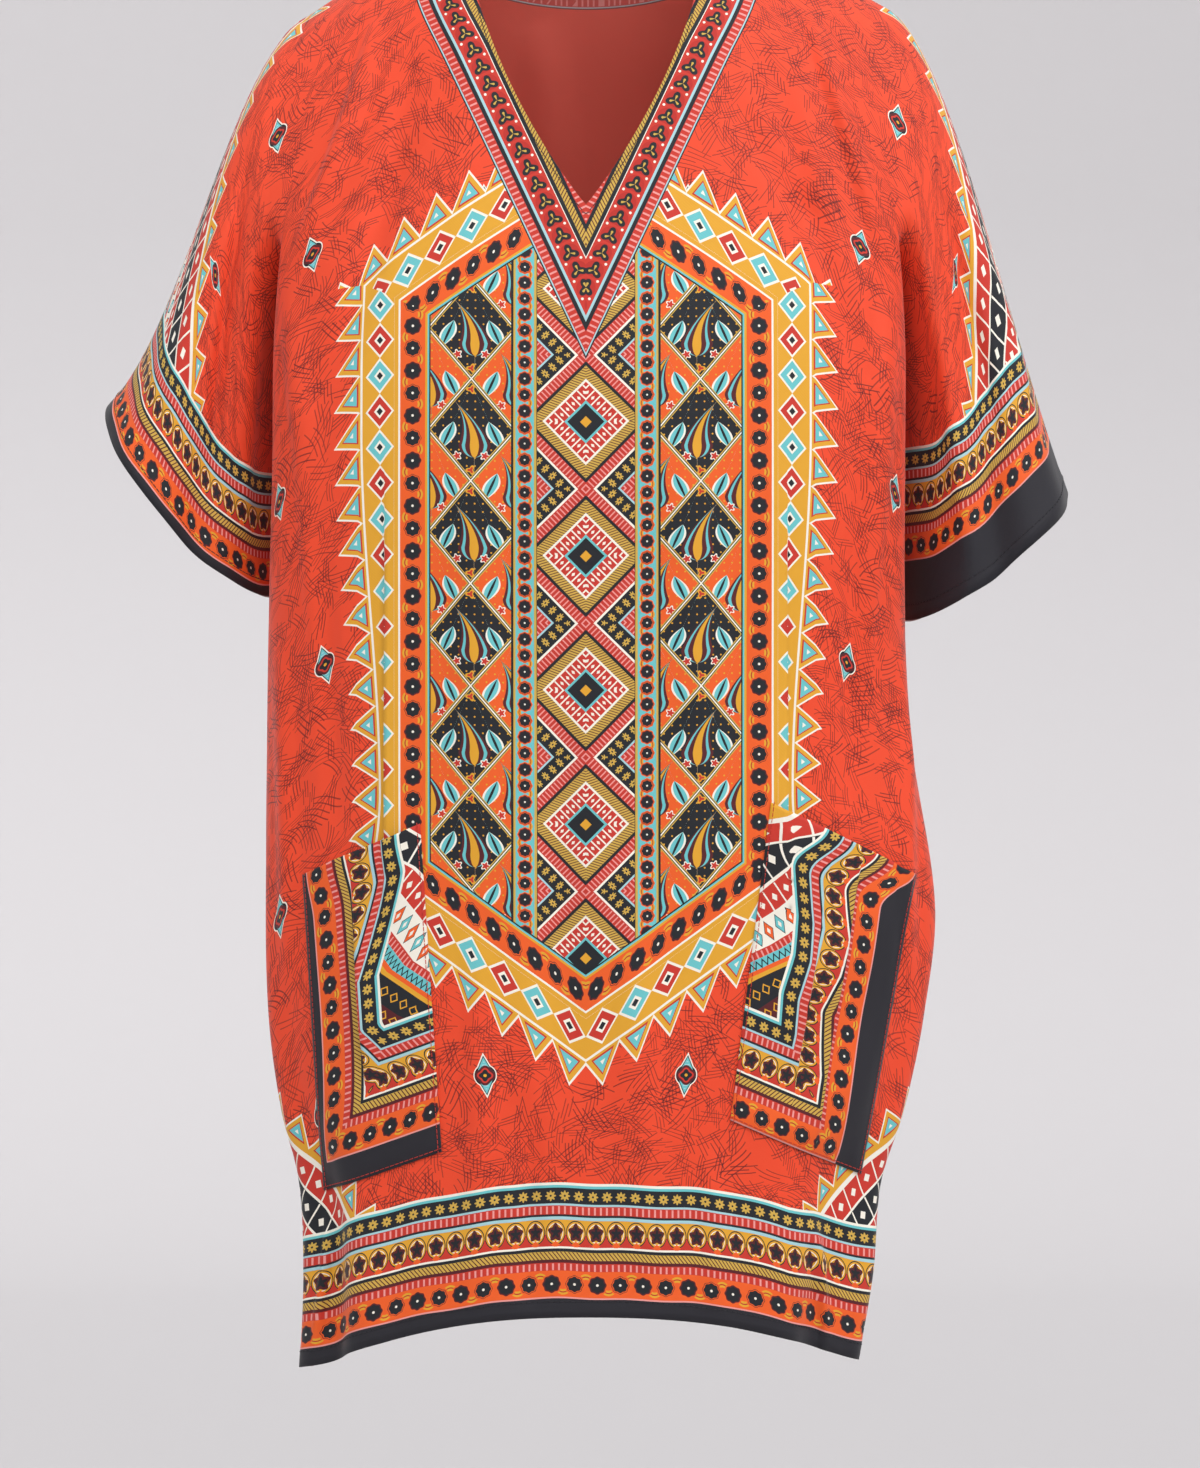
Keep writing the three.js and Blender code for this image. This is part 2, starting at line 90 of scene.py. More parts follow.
TUCK_X = 114.0  # where the front's loose tuck overlaps, from the centre
TUCK_TOP, TUCK_FULL, TUCK_END = -313.0, -520.0, -610.0
TUCK_RIDGE, TUCK_TROUGH = 2.6, 1.6
TUCK_STEP = 0.6  # width of the step from the upper to the lower layer
TUCK_HIDDEN = 10.0  # print that is hidden in the overlap
TUCK_SHARE, TUCK_REACH = 0.335, 0.13  # the column that follows the tuck, and its neighbours
TUCK_FROM, TUCK_OVER = 0.1, 0.15  # shares down where the columns start to follow it
TUCK_INNER, TUCK_OUTER = 13.0, 17.0  # how fast its ridge and its trough die away

HEM_TURN = 10.5  # depth of the turned and sewn hem
HEM_STEP, HEM_EDGE = 0.45, 1.2  # height and width of the step at the turned hem
HEM_STITCH = HEM_TURN - 1.5
NECK_STITCH = 6.0  # down from the neck's edge, which slants
STITCH_LIFT = 0.08  # middle of a stitch over the cloth's outer face
CREASE_DEPTH = 2.1  # all creases' heights are scaled by this
CREASE_POINTS = 25
CREASE_FADE = 0.7  # power of the sine by which a crease dies away at its ends
CREASE_FACING = 2.2  # keeps creases off the cloth that is turned from their face
HELD_SIDE, HELD_TOP, HELD_UNDER = 14.0, 7, 6  # reach of the seams' hold, in mm and in rows
UNEVEN_LONG, UNEVEN_SHORT = (0.5, 17.0), (0.3, 6.3)  # drift of the printed bands, in mm
FAR, NECK_FAR = 900.0, 500.0  # stand for a distance to an edge that is out of reach


@dataclass(frozen=True)
class Face:
    """One side of the garment, seen from outside."""

    name: str
    sign: int
    hem_centre: float


@dataclass(frozen=True)
class Side:
    """The viewer's left or right half: its shoulder tip, hem corner and sleeve, as (x, z)."""

    name: str
    sign: int
    shoulder_tip: tuple[float, float]
    hem_corner: float
    top_pulls: tuple[tuple[float, float], tuple[float, float]]
    cuff_top: tuple[float, float]
    cuff_bottom: tuple[float, float]
    cuff_sag: float
    cuff_depth: dict[str, float]
    plain_cuff: float  # width of the unprinted black edge at the cuff


FRONT = Face("front", -1, -818.0)
BACK = Face("back", 1, -834.0)
LEFT = Side(
    "left", -1, (165, -64), -859.0, ((206, -88), (231, -240)), (279, -291), (183, -404), 19.0,
    {"front": 66.0, "back": 60.0}, 6.0,
)
RIGHT = Side(
    "right", 1, (176, -58), -853.0, ((212, -76), (240, -224)), (281, -341), (186, -418), 14.0,
    {"front": 68.0, "back": 60.0}, 34.0,
)


class Table:
    """Sizes down the garment, each column read as a smooth curve of the height z."""

    def __init__(self, names: str, *rows: tuple[float, ...]) -> None:
        """Keeps the rows, whose first column is z and falls from row to row."""
        self.columns = dict(zip(names.split(), np.array(rows, float).T))

    def at(self, column: str, z: Array) -> Array:
        """Value of a column.

        Args:
            column: the column's name.
            z: heights, clipped to the table's range.

        Returns:
            The column's value at each height.
        """
        heights, values = self.columns["z"], self.columns[column]
        z = np.clip(z, heights[-1], heights[0])
        row = np.clip(np.searchsorted(-heights, -z) - 1, 0, len(heights) - 2)
        low = np.maximum(np.arange(len(heights)) - 1, 0)
        high = np.minimum(np.arange(len(heights)) + 1, len(heights) - 1)
        slope = (values[high] - values[low]) / (heights[high] - heights[low])
        span = heights[row + 1] - heights[row]
        u = (z - heights[row]) / span
        bend = (u * (1 - u) ** 2 * slope[row] - u**2 * (1 - u) * slope[row + 1]) * span
        return values[row] + (values[row + 1] - values[row]) * u * u * (3 - 2 * u) + bend


SECTIONS = Table(
    "z left right front back front_edge back_edge tuck_in",
    (0, 150, 160, 122, 98, 62, 52, 26),
    (-60, 150, 160, 128, 102, 62, 52, 26),
    (-120, 162, 168, 130, 114, 62, 52, 26),
    (-185, 173, 178, 134, 122, 63, 53, 26),
    (-250, 180, 184, 139, 121, 64, 54, 26),
    (-330, 181, 184, 137, 113, 66, 54, 25),
    (-404, 183, 184, 131, 109, 60, 50, 19),
    (-480, 185, 187, 127, 107, 46, 40, 8),
    (-584, 186, 202, 122, 105, 36, 32, 3),
    (-650, 183, 194, 118, 105, 34, 30, 2),
    (-702, 175, 182, 115, 105, 34, 30, 2),
    (-745, 164, 168, 112, 105, 34, 30, 2),
    (-800, 161, 163, 110, 105, 34, 30, 2),
    (-860, 163, 152, 108, 104, 34, 30, 2),
)
ARM_LINE = Table(
    "z left right", (-58, 165, 176), (-95, 174, 181), (-135, 180, 184), (-185, 184, 187),
    (-250, 184, 188),
)


@dataclass(frozen=True)
class Fold:
    """A long soft fold of the body, running down to the hem. Shares run from the centre out."""

    face: Face
    side: Side
    top: float
    at_top: float
    at_hem: float
    half: float
    out: float


BODY_FOLDS = (
    Fold(FRONT, LEFT, -640, 0.46, 0.46, 0.1, 4),
    Fold(FRONT, LEFT, -660, 0.6, 0.58, 0.1, -6),
    Fold(FRONT, RIGHT, -640, 0.38, 0.38, 0.1, 4),
    Fold(FRONT, RIGHT, -680, 0.52, 0.52, 0.1, -6),
    Fold(FRONT, LEFT, -420, 0.66, 0.72, 0.1, 5),
    Fold(FRONT, RIGHT, -420, 0.68, 0.7, 0.1, 6),
    Fold(BACK, LEFT, -330, 0.16, 0.22, 0.12, 12),
    Fold(BACK, LEFT, -430, 0.38, 0.44, 0.1, -9),
    Fold(BACK, LEFT, -380, 0.54, 0.62, 0.11, 11),
    Fold(BACK, RIGHT, -360, 0.13, 0.17, 0.11, 11),
    Fold(BACK, RIGHT, -400, 0.34, 0.37, 0.1, -10),
    Fold(BACK, RIGHT, -350, 0.5, 0.56, 0.12, 12),
)


@dataclass(frozen=True)
class SleeveFold:
    """A soft fold of a sleeve, at a share round it, from a share of the way out to the cuff."""

    face: Face
    side: Side
    round: float
    start: float
    half: float
    out: float


SLEEVE_FOLDS = (
    SleeveFold(FRONT, LEFT, 0.62, 0.3, 0.14, -7),
    SleeveFold(FRONT, LEFT, 0.36, 0.2, 0.16, 4),
    SleeveFold(FRONT, RIGHT, 0.52, 0.25, 0.14, -8),
    SleeveFold(FRONT, RIGHT, 0.28, 0.2, 0.16, 4),
    SleeveFold(BACK, LEFT, 0.5, 0.2, 0.16, -8),
    SleeveFold(BACK, RIGHT, 0.56, 0.2, 0.16, -8),
)


@dataclass(frozen=True)
class Crease:
    """A crease of the cloth, drawn as seen from its own face.

    It runs from start to end, bowed towards the bend point, all as (x, z). half is its half width,
    out its height (a trough is below zero), and crisp narrows the side to the right of its run.
    """

    face: Face
    start: tuple[float, float]
    bend: tuple[float, float]
    end: tuple[float, float]
    half: float
    out: float
    crisp: float = 1.0


CREASES = (
    # Front, from the shoulders down towards the bust and the underarm.
    Crease(FRONT, (-120, -70), (-140, -150), (-168, -215), 12, 2.2, 0.6),
    Crease(FRONT, (-98, -95), (-112, -190), (-150, -300), 15, -2.0),
    Crease(FRONT, (128, -66), (150, -140), (170, -210), 12, 2.4, 0.6),
    Crease(FRONT, (104, -90), (122, -180), (158, -290), 15, -2.0),
    Crease(FRONT, (-172, -225), (-160, -330), (-150, -470), 13, 2.4, 0.7),
    Crease(FRONT, (-165, -300), (-146, -420), (-142, -560), 11, -1.8),
    Crease(FRONT, (174, -230), (166, -330), (152, -460), 13, 2.6, 0.7),
    Crease(FRONT, (168, -290), (150, -420), (150, -540), 11, -2.0),
    Crease(FRONT, (-176, -430), (-170, -520), (-172, -640), 9, 2.0),
    Crease(FRONT, (184, -430), (182, -530), (186, -640), 9, 2.2),
    Crease(FRONT, (-60, -300), (-66, -420), (-60, -560), 22, 1.6),
    Crease(FRONT, (58, -320), (66, -430), (62, -590), 22, 1.5),
    Crease(FRONT, (-14, -420), (-22, -560), (-10, -700), 24, -1.8),
    Crease(FRONT, (30, -560), (26, -660), (34, -800), 20, 1.6),
    Crease(FRONT, (-62, -600), (-58, -700), (-66, -815), 16, 1.8, 0.7),
    Crease(FRONT, (-36, -690), (-30, -760), (-34, -815), 12, -1.4),
    Crease(FRONT, (70, -720), (76, -770), (70, -818), 12, 1.4),
    Crease(FRONT, (-148, -760), (-151, -800), (-158, -842), 7, 2.6, 0.5),
    Crease(FRONT, (128, -765), (134, -800), (138, -842), 7, 2.6, 0.5),
    Crease(FRONT, (-70, -110), (-100, -170), (-132, -190), 12, -1.4),
    Crease(FRONT, (84, -120), (112, -180), (140, -196), 12, -1.4),
    # Sleeves, seen from the front.
    Crease(FRONT, (-196, -150), (-214, -250), (-218, -352), 8, -2.6, 0.6),
    Crease(FRONT, (-204, -180), (-232, -250), (-246, -330), 9, 2.0),
    Crease(FRONT, (-190, -230), (-200, -300), (-200, -380), 7, 1.8),
    Crease(FRONT, (206, -170), (226, -250), (240, -330), 9, -2.8, 0.6),
    Crease(FRONT, (196, -210), (214, -300), (222, -390), 8, 2.0),
    Crease(FRONT, (218, -180), (248, -250), (262, -330), 8, 1.8),
    # Back.
    Crease(BACK, (-120, -70), (-136, -160), (-164, -220), 14, 2.2),
    Crease(BACK, (118, -70), (140, -150), (166, -215), 14, 2.4, 0.7),
    Crease(BACK, (-30, -60), (-12, -130), (-26, -240), 22, -2.0),
    Crease(BACK, (56, -90), (44, -190), (58, -330), 20, 2.0),
    Crease(BACK, (-92, -150), (-104, -260), (-96, -420), 17, 2.2, 0.7),
    Crease(BACK, (-160, -260), (-148, -380), (-154, -520), 12, -2.4),
    Crease(BACK, (160, -250), (150, -400), (158, -560), 12, -2.6),
    Crease(BACK, (110, -330), (118, -470), (104, -640), 15, 2.2),
    Crease(BACK, (-70, -520), (-80, -640), (-66, -810), 15, 2.2),
    Crease(BACK, (8, -560), (0, -680), (12, -825), 17, -2.0),
    Crease(BACK, (-206, -190), (-228, -260), (-236, -340), 9, -2.2),
    Crease(BACK, (208, -180), (232, -260), (244, -350), 9, -2.2),
)


def clamp(value: Array) -> Array:
    """Value held between 0 and 1."""
    return np.clip(value, 0.0, 1.0)


def mix(a: Any, b: Any, share: Any) -> Any:
    """Value a share of the way from a to b."""
    return a + (b - a) * share


def ease(value: Array) -> Array:
    """Smooth step from 0 to 1."""
    return clamp(value) ** 2 * (3 - 2 * clamp(value))


def squareness(share: Array, power: float) -> Array:
    """Height of a rounded arch at a share of its half width."""
    return (1 - clamp(share) ** power) ** (1 / power)


def swing(drop: Array) -> Array:
    """Share of its full depth that the cloth has reached at a drop below the shoulder line."""
    return 1 - np.exp(-((np.maximum(drop, 0) / SHOULDER_ROUNDING) ** SHOULDER_POWER))


def crest(distance: Array, half: Any) -> Array:
    """Rounded profile that is 1 at no distance and 0 from half on."""
    return np.cos(clamp(distance / half) * (math.pi / 2)) ** 2


# ---- sheets of cloth -----------------------------------------------------------------------------


@dataclass
class Sheet:
    """The middle surface of a piece of cloth, with its places in the flat cut.

    points are in millimetres, and quads face outwards. maps holds a pair of numbers in
    millimetres for each point and each UV map. seams holds the lines that are stitched.
    """

    points: Array
    quads: Array
    maps: dict[str, Array] = field(default_factory=dict)
    seams: list[Array] = field(default_factory=list)

    def normals(self) -> Array:
        """Outward direction at each point.

        Returns:
            A unit vector for each point.
        """
        a, b, c, d = (self.points[self.quads[:, corner]] for corner in range(4))
        facing = np.cross(c - a, d - b)
        total = np.zeros_like(self.points)
        for corner in range(4):
            np.add.at(total, self.quads[:, corner], facing)
        return total / np.maximum(np.linalg.norm(total, axis=1, keepdims=True), 1e-9)

    def raise_by(self, heights: Array) -> None:
        """Moves each point out along its normal."""
        self.points = self.points + self.normals() * heights[:, None]

    def inset(self, paths: list[Array], depth: float) -> Array:
        """Line on the cloth at a distance along each of the paths of point numbers.

        Args:
            paths: runs of point numbers, each from the edge in.
            depth: how far along them the line lies.

        Returns:
            A point for each path, on the cloth's outer face.
        """
        normals = self.normals()
        found = []
        for path in paths:
            run = self.points[path]
            length = np.linalg.norm(np.diff(run, axis=0), axis=1)
            length = np.concatenate([[0.0], np.cumsum(length)])
            place, out = (
                np.array([np.interp(depth, length, numbers[:, axis]) for axis in range(3)])
                for numbers in (run, normals[path])
            )
            found.append(place + out * (SHELL / 2 + STITCH_LIFT))
        return np.array(found)


def grid_quads(index: Array, outwards: bool) -> Array:
    """Cells of a grid of point numbers.

    Args:
        index: point numbers, row by row; below zero where there is no point.
        outwards: whether row-then-column order already faces outwards.

    Returns:
        Four point numbers for each whole cell.
    """
    corners = [index[:-1, :-1], index[1:, :-1], index[1:, 1:], index[:-1, 1:]]
    quads = np.stack(corners, -1).reshape(-1, 4)
    quads = quads[(quads >= 0).all(1)]
    return quads if outwards else quads[:, ::-1]


def steps(*runs: tuple[float, float, int]) -> Array:
    """Places along a line, from runs of (from, to, cells) that follow each other.

    Args:
        runs: each run, which starts where the last one ends.

    Returns:
        Every place once, in order.
    """
    places = [np.array([runs[0][0]])]
    places += [np.linspace(start, end, cells + 1)[1:] for start, end, cells in runs]
    return np.concatenate(places)


class Panel:
    """The front or the back, cut in one with its half of both sleeves."""

    def __init__(self, face: Face) -> None:
        """Builds the panel's sheet.

        Args:
            face: front or back.
        """
        self.face = face
        half = NECK_CELLS + SHOULDER_CELLS + HOOK_CELLS
        self.half_cells = half
        across = steps(
            (0, NECK_SHARE, NECK_CELLS),
            (NECK_SHARE, EDGE_SHARE, SHOULDER_CELLS),
            (EDGE_SHARE, 1, HOOK_CELLS),
        )
        self.tuck_column = int(np.argmin(abs(across - TUCK_SHARE)))
        self.across = across
        self.out = steps((0, 1, SLEEVE_CELLS))
        arm = UNDERARM_SHARE * steps((0, 1, ARM_CELLS)) ** SHOULDER_ROW_POWER
        self.down = np.concatenate([arm, steps((UNDERARM_SHARE, 1, BODY_CELLS))[1:]])
        self.sheet = self.join(self.half_grid(LEFT), self.half_grid(RIGHT))

    def shoulder_height(self, side: Side, x: Array) -> Array:
        """Height of the shoulder line at a distance from the centre."""
        tip_x, tip_z = side.shoulder_tip
        return tip_z * np.maximum(0, x - NECK_HALF_WIDTH) / (tip_x - NECK_HALF_WIDTH)

    def top_edge(self, side: Side, x: Array) -> Array:
        """Height of the panel's upper edge: the neck, then the shoulder line.

        Args:
            side: which half.
            x: distances from the centre.

        Returns:
            A height for each x.
        """
        share = clamp(x / NECK_HALF_WIDTH)
        if self.face is FRONT:
            neck = -NECK_FRONT_DROP * (1 - share**NECK_CURVE_IN) ** NECK_CURVE_DOWN
        else:
            neck = -NECK_BACK_DROP * np.sqrt(1 - share**2)
        return np.where(x >= NECK_HALF_WIDTH, self.shoulder_height(side, x), neck)

    def column_share(self, side: Side, s: Array, lowered: Array) -> Array:
        """Half width of a column as a share of the width out to the side fold.

        Args:
            side: which half.
            s: shares from the centre to the side seam.
            lowered: share down the armhole rows.

        Returns:
            A share for each column.
        """
        neck = NECK_HALF_WIDTH / SECTIONS.columns[side.name][0]
        inner = neck * (1 - (1 - clamp(s / NECK_SHARE)) ** NECK_SPACING_POWER)
        outer = mix(neck, 1, (s - NECK_SHARE) / (EDGE_SHARE - NECK_SHARE))
        high = np.minimum(np.where(s < NECK_SHARE, inner, outer), 1)
        low = np.sin(np.minimum(s / EDGE_SHARE, 1) * math.pi / 2)
        return mix(high, low, lowered)

    def across_edge(self, side: Side, s: Array, z: Array, lowered: Array) -> Array:
        """Distance of a column from the centre."""
        return SECTIONS.at(side.name, z) * self.column_share(side, s, lowered)

    def top_height(self, side: Side, s: Array) -> Array:
        """Height at which each column starts, found by halving on the neck edge.

        Args:
            side: which half.
            s: shares from the centre to the side seam.

        Returns:
            A height for each column.
        """
        low = np.full_like(s, -NECK_FRONT_DROP)
        high = np.zeros_like(s)
        for _ in range(40):
            middle = (low + high) / 2
            above = self.top_edge(side, self.across_edge(side, s, middle, 0.0)) > middle
            low, high = np.where(above, middle, low), np.where(above, high, middle)
        turned = clamp((s - EDGE_SHARE) / (1 - EDGE_SHARE))
        at_top = mix(SECTIONS.columns[side.name][0], side.shoulder_tip[0], turned)
        return np.where(s >= EDGE_SHARE, self.shoulder_height(side, at_top), (low + high) / 2)

    def hem_height(self, side: Side, s: Array) -> Array:
        """Height of the hem at each column.

        Args:
            side: which half.
            s: shares from the centre to the side seam.

        Returns:
            A height for each column.
        """
        at_fold = side.hem_corner + HEM_CORNER_DROP
        turned = clamp((s - EDGE_SHARE) / (1 - EDGE_SHARE))
        bow = self.column_share(side, s, 1.0) ** HEM_CURVE_POWER
        return mix(self.face.hem_centre, at_fold, bow) - HEM_CORNER_DROP * turned

    def row_share(self, side: Side, s: Array, t: Array) -> Array:
        """Share down a column of a row: at the side, the underarm row lies at the underarm.

        Args:
            side: which half.
            s: shares from the centre to the side seam.
            t: shares from the upper edge to the hem.

        Returns:
            A share down the column for each pair.
        """
        edge = np.ones(1)
        top = self.top_height(side, edge)
        at_side = (UNDERARM_Z - top) / (self.hem_height(side, edge) - top)
        lower = mix(at_side, 1, (t - UNDERARM_SHARE) / (1 - UNDERARM_SHARE))
        matched = np.where(t <= UNDERARM_SHARE, t / UNDERARM_SHARE * at_side, lower)
        return mix(t, matched, s)

    def body(self, side: Side, s: Array, t: Array) -> Array:
        """Body surface before its folds.

        Args:
            side: which half.
            s: shares from the centre to the side seam.
            t: shares from the upper edge to the hem.

        Returns:
            A point for each pair.
        """
        z = mix(self.top_height(side, s), self.hem_height(side, s), t)
        across = self.across_edge(side, s, z, ease(t / UNDERARM_SHARE))
        width = SECTIONS.at(side.name, z)
        depth = SECTIONS.at(self.face.name, z)
        edge_depth = SECTIONS.at(f"{self.face.name}_edge", z)
        turned = clamp((s - EDGE_SHARE) / (1 - EDGE_SHARE))
        folded = ease((FOLD_START_Z - z) / (FOLD_START_Z - UNDERARM_Z))
        open_x = mix(across, ARM_LINE.at(side.name, z), turned)
        open_y = depth * squareness(open_x / SHOULDER_SPREAD, SHOULDER_SQUARENESS)
        open_y = open_y * swing(self.shoulder_height(side, open_x) - z)
        hook = np.sin(turned * math.pi / 2) ** HOOK_POWER
        folded_x = across - SECTIONS.at("tuck_in", z) * hook
        arch = squareness(across / width, BODY_SQUARENESS)
        folded_y = (edge_depth * (1 - turned) + (depth - edge_depth) * arch) * swing(-z)
        x = side.sign * mix(open_x, folded_x, folded)
        y = self.face.sign * (SEAM_GAP / 2 + mix(open_y, folded_y, folded))
        return np.stack([x, y, z], -1)

    def sleeve(self, side: Side, p: Array, q: Array, start: Array) -> Array:
        """Sleeve surface before its folds.

        Args:
            side: which sleeve.
            p: shares of the way out from the body to the cuff.
            q: shares round from the sleeve's top line to its seam.
            start: the body's point for each q.

        Returns:
            A point for each pair.
        """
        angle = math.pi * q
        (top_x, top_z), (low_x, low_z) = side.cuff_top, side.cuff_bottom
        sag = side.cuff_sag * np.sin(angle) / math.hypot(top_x - low_x, top_z - low_z)
        near = (1 + np.cos(angle)) / 2
        cuff_x = mix(low_x, top_x, near) + sag * (top_z - low_z)
        cuff_z = mix(low_z, top_z, near) - sag * (top_x - low_x)
        cuff_y = side.cuff_depth[self.face.name] * np.sin(angle)
        first, second = side.top_pulls

        def bend(axis: int) -> Array:
            """How far the cubic top line leaves the straight one, along x (0) or z (1)."""
            start_at, end_at = side.shoulder_tip[axis], side.cuff_top[axis]
            curve = (
                start_at * (1 - p) ** 3 + 3 * first[axis] * p * (1 - p) ** 2
                + 3 * second[axis] * p**2 * (1 - p) + end_at * p**3
            )
            return curve - mix(start_at, end_at, p)

        near_top = np.cos(angle / 2) ** 2
        spring = SLEEVE_SPRING * np.sqrt(p) * (1 - p) * ease(q / SPRING_FULL)
        x = mix(start[..., 0], side.sign * cuff_x, p) + side.sign * (near_top * bend(0) + spring)
        y = mix(start[..., 1], self.face.sign * (SEAM_GAP / 2 + cuff_y), p)
        z = mix(start[..., 2], cuff_z, p) + near_top * bend(1)
        return np.stack([x, y, z], -1)

    def half_grid(self, side: Side) -> dict[str, Array]:
        """Points, fold heights and shares round the sleeve of one half, as arrays by name.

        Args:
            side: which half.

        Returns:
            The arrays of the body, then of the sleeve.
        """
        s, t = np.meshgrid(self.across, self.down)
        s = self.along_tuck(side, s, t)
        body = self.body(side, s, self.row_share(side, s, t))
        folds = np.zeros_like(s)
        for fold in BODY_FOLDS:
            if fold.face is self.face and fold.side is side:
                down = clamp((fold.top - body[..., 2]) / (fold.top - side.hem_corner))
                centre = mix(fold.at_top, fold.at_hem, down)
                folds += fold.out * ease(down * FOLD_GROWTH) * crest(abs(s - centre), fold.half)
        arm_rows = ARM_CELLS + 1
        q, p = np.meshgrid(self.down[:arm_rows] / UNDERARM_SHARE, self.out[1:], indexing="ij")
        q = q ** (1 / SHOULDER_ROW_POWER)
        sleeve = self.sleeve(side, p, q, body[:arm_rows, -1:, :])
        sleeve_folds = np.zeros_like(p)
        for fold in SLEEVE_FOLDS:
            if fold.face is self.face and fold.side is side:
                grown = ease((p - fold.start) / (1 - fold.start))
                sleeve_folds += fold.out * grown * crest(abs(q - fold.round), fold.half)
        return {
            "body": body, "folds": folds, "sleeve": sleeve, "sleeve_folds": sleeve_folds,
            "q": q,
        }

    def along_tuck(self, side: Side, s: Array, t: Array) -> Array:
        """Shifts the columns so that two of them lie on either side of the front's tuck.

        Args:
            side: which half.
            s: shares from the centre to the side seam.
            t: shares from the upper edge to the hem.

        Returns:
            The shifted shares across.
        """
        if self.face is BACK:
            return s
        z = mix(self.top_height(side, s), self.hem_height(side, s), self.row_share(side, s, t))
        width = SECTIONS.at(side.name, z)
        wanted = EDGE_SHARE * 2 / math.pi * np.arcsin(TUCK_X / width)
        home = self.across[self.tuck_column]
        started = ease((t - TUCK_FROM) / TUCK_OVER)
        pull = clamp(1 - abs(s - home) / TUCK_REACH) * started
        shifted = s + (wanted - home) * pull
        follower = self.tuck_column + 1
        column_step = EDGE_SHARE * 2 / math.pi * TUCK_STEP / np.sqrt(width**2 - TUCK_X**2)
        level = started[:, follower]
        tight = shifted[:, self.tuck_column] + column_step[:, follower]
        shifted[:, follower] = mix(shifted[:, follower], tight, level)
        return shifted

    def cut_places(self, half: dict[str, Array], side: Side) -> dict[str, Array]:
        """Places of one half in the flat cut, its distances to the edges, body then sleeve.

        Args:
            half: the half's arrays.
            side: which half.

        Returns:
            The places in millimetres, by name.
        """
        body, sleeve = half["body"], half["sleeve"]
        rows = np.diff(body, axis=0)
        fall = np.where(abs(rows[..., 2]) > 1e-6, rows[..., 1] / rows[..., 2], 0.0)
        fall = np.concatenate([fall[:1], (fall[1:] + fall[:-1]) / 2, fall[-1:]])
        over = np.diff(body, axis=1)
        tilt = (fall[:, 1:] + fall[:, :-1]) / 2
        level = np.hypot(over[..., 0], over[..., 1] - tilt * over[..., 2])
        u = np.concatenate([np.zeros((len(body), 1)), np.cumsum(level, axis=1)], axis=1)
        v = np.concatenate(
            [np.zeros((1, body.shape[1])), np.cumsum(np.hypot(rows[..., 1], rows[..., 2]), axis=0)]
        )
        corner = int(np.argmin(abs(self.across - NECK_SHARE)))
        profile = body[:, corner, 2]
        v = v + np.interp(-body[0, :, 2], -profile, v[:, corner]) * (self.across < NECK_SHARE)
        length = np.linalg.norm(rows, axis=2)
        from_hem = np.concatenate([np.cumsum(length[::-1], axis=0)[::-1], np.zeros((1, len(u[0])))])
        side_distance = u[:, -1:] - u
        arm_rows = len(sleeve)
        ring = np.concatenate([body[:arm_rows, -1:, :], sleeve], axis=1)
        out_steps = np.linalg.norm(np.diff(ring, axis=1), axis=2)
        sleeve_out = np.cumsum(out_steps, axis=1)
        share_out = self.out[1:][None, :]
        cuff_girth = np.linalg.norm(np.diff(ring[:, -1], axis=0), axis=1).sum()
        round_cuff = half["q"] * cuff_girth
        to_cuff = sleeve_out[:, -1:] - np.concatenate([np.zeros((arm_rows, 1)), sleeve_out], 1)
        edge_shift = BAND_PLAIN_EDGE - side.plain_cuff
        border_d = from_hem.copy()
        border_d[:arm_rows] = to_cuff[:, :1] + side_distance[:arm_rows] + edge_shift
        border_a = u.copy()
        border_a[:arm_rows] = half["q"][:, :1] * cuff_girth
        return {
            "cut_u": np.concatenate([u[:arm_rows, -1:] + sleeve_out], 1),
            "cut_v": mix(v[:arm_rows, -1:], round_cuff, share_out),
            "body_u": u, "body_v": v, "border_a": border_a, "border_d": border_d,
            "sleeve_a": round_cuff, "sleeve_d": to_cuff[:, 1:] + edge_shift,
            "side": side_distance, "sleeve_side": -sleeve_out,
            "hem": np.where(np.arange(len(self.down))[:, None] > ARM_CELLS, from_hem, FAR),
            "sleeve_hem": np.full_like(sleeve_out, FAR),
        }

    def join(self, left: dict[str, Array], right: dict[str, Array]) -> Sheet:
        """Sews the halves' grids into one sheet, raises its folds and maps its print.

        Args:
            left: the left half's arrays.
            right: the right half's arrays.

        Returns:
            The panel's cloth.
        """
        rows, columns = len(self.down), self.half_cells + SLEEVE_CELLS
        shape = (rows, 2 * columns + 1)
        arm_rows = ARM_CELLS + 1

        def whole(parts: dict[str, tuple[Array, Array]]) -> Array:
            """One grid of both halves, with the left half mirrored.

            Args:
                parts: each half's (body, sleeve) arrays.

            Returns:
                The grid, without a number where there is no cloth.
            """
            depth = parts["left"][0].shape[2:]
            grid = np.full(shape + depth, np.nan)
            for name, flip in (("left", -1), ("right", 1)):
                body, sleeve = parts[name]
                middle = columns + flip * np.arange(self.half_cells + 1)
                grid[:, middle] = body
                outer = columns + flip * np.arange(self.half_cells + 1, columns + 1)
                grid[:arm_rows, outer] = sleeve
            return grid

        def both(body: str, sleeve: str, source: dict[str, dict[str, Array]]) -> Array:
            """Whole grid of two named arrays of each half."""
            return whole({name: (half[body], half[sleeve]) for name, half in source.items()})

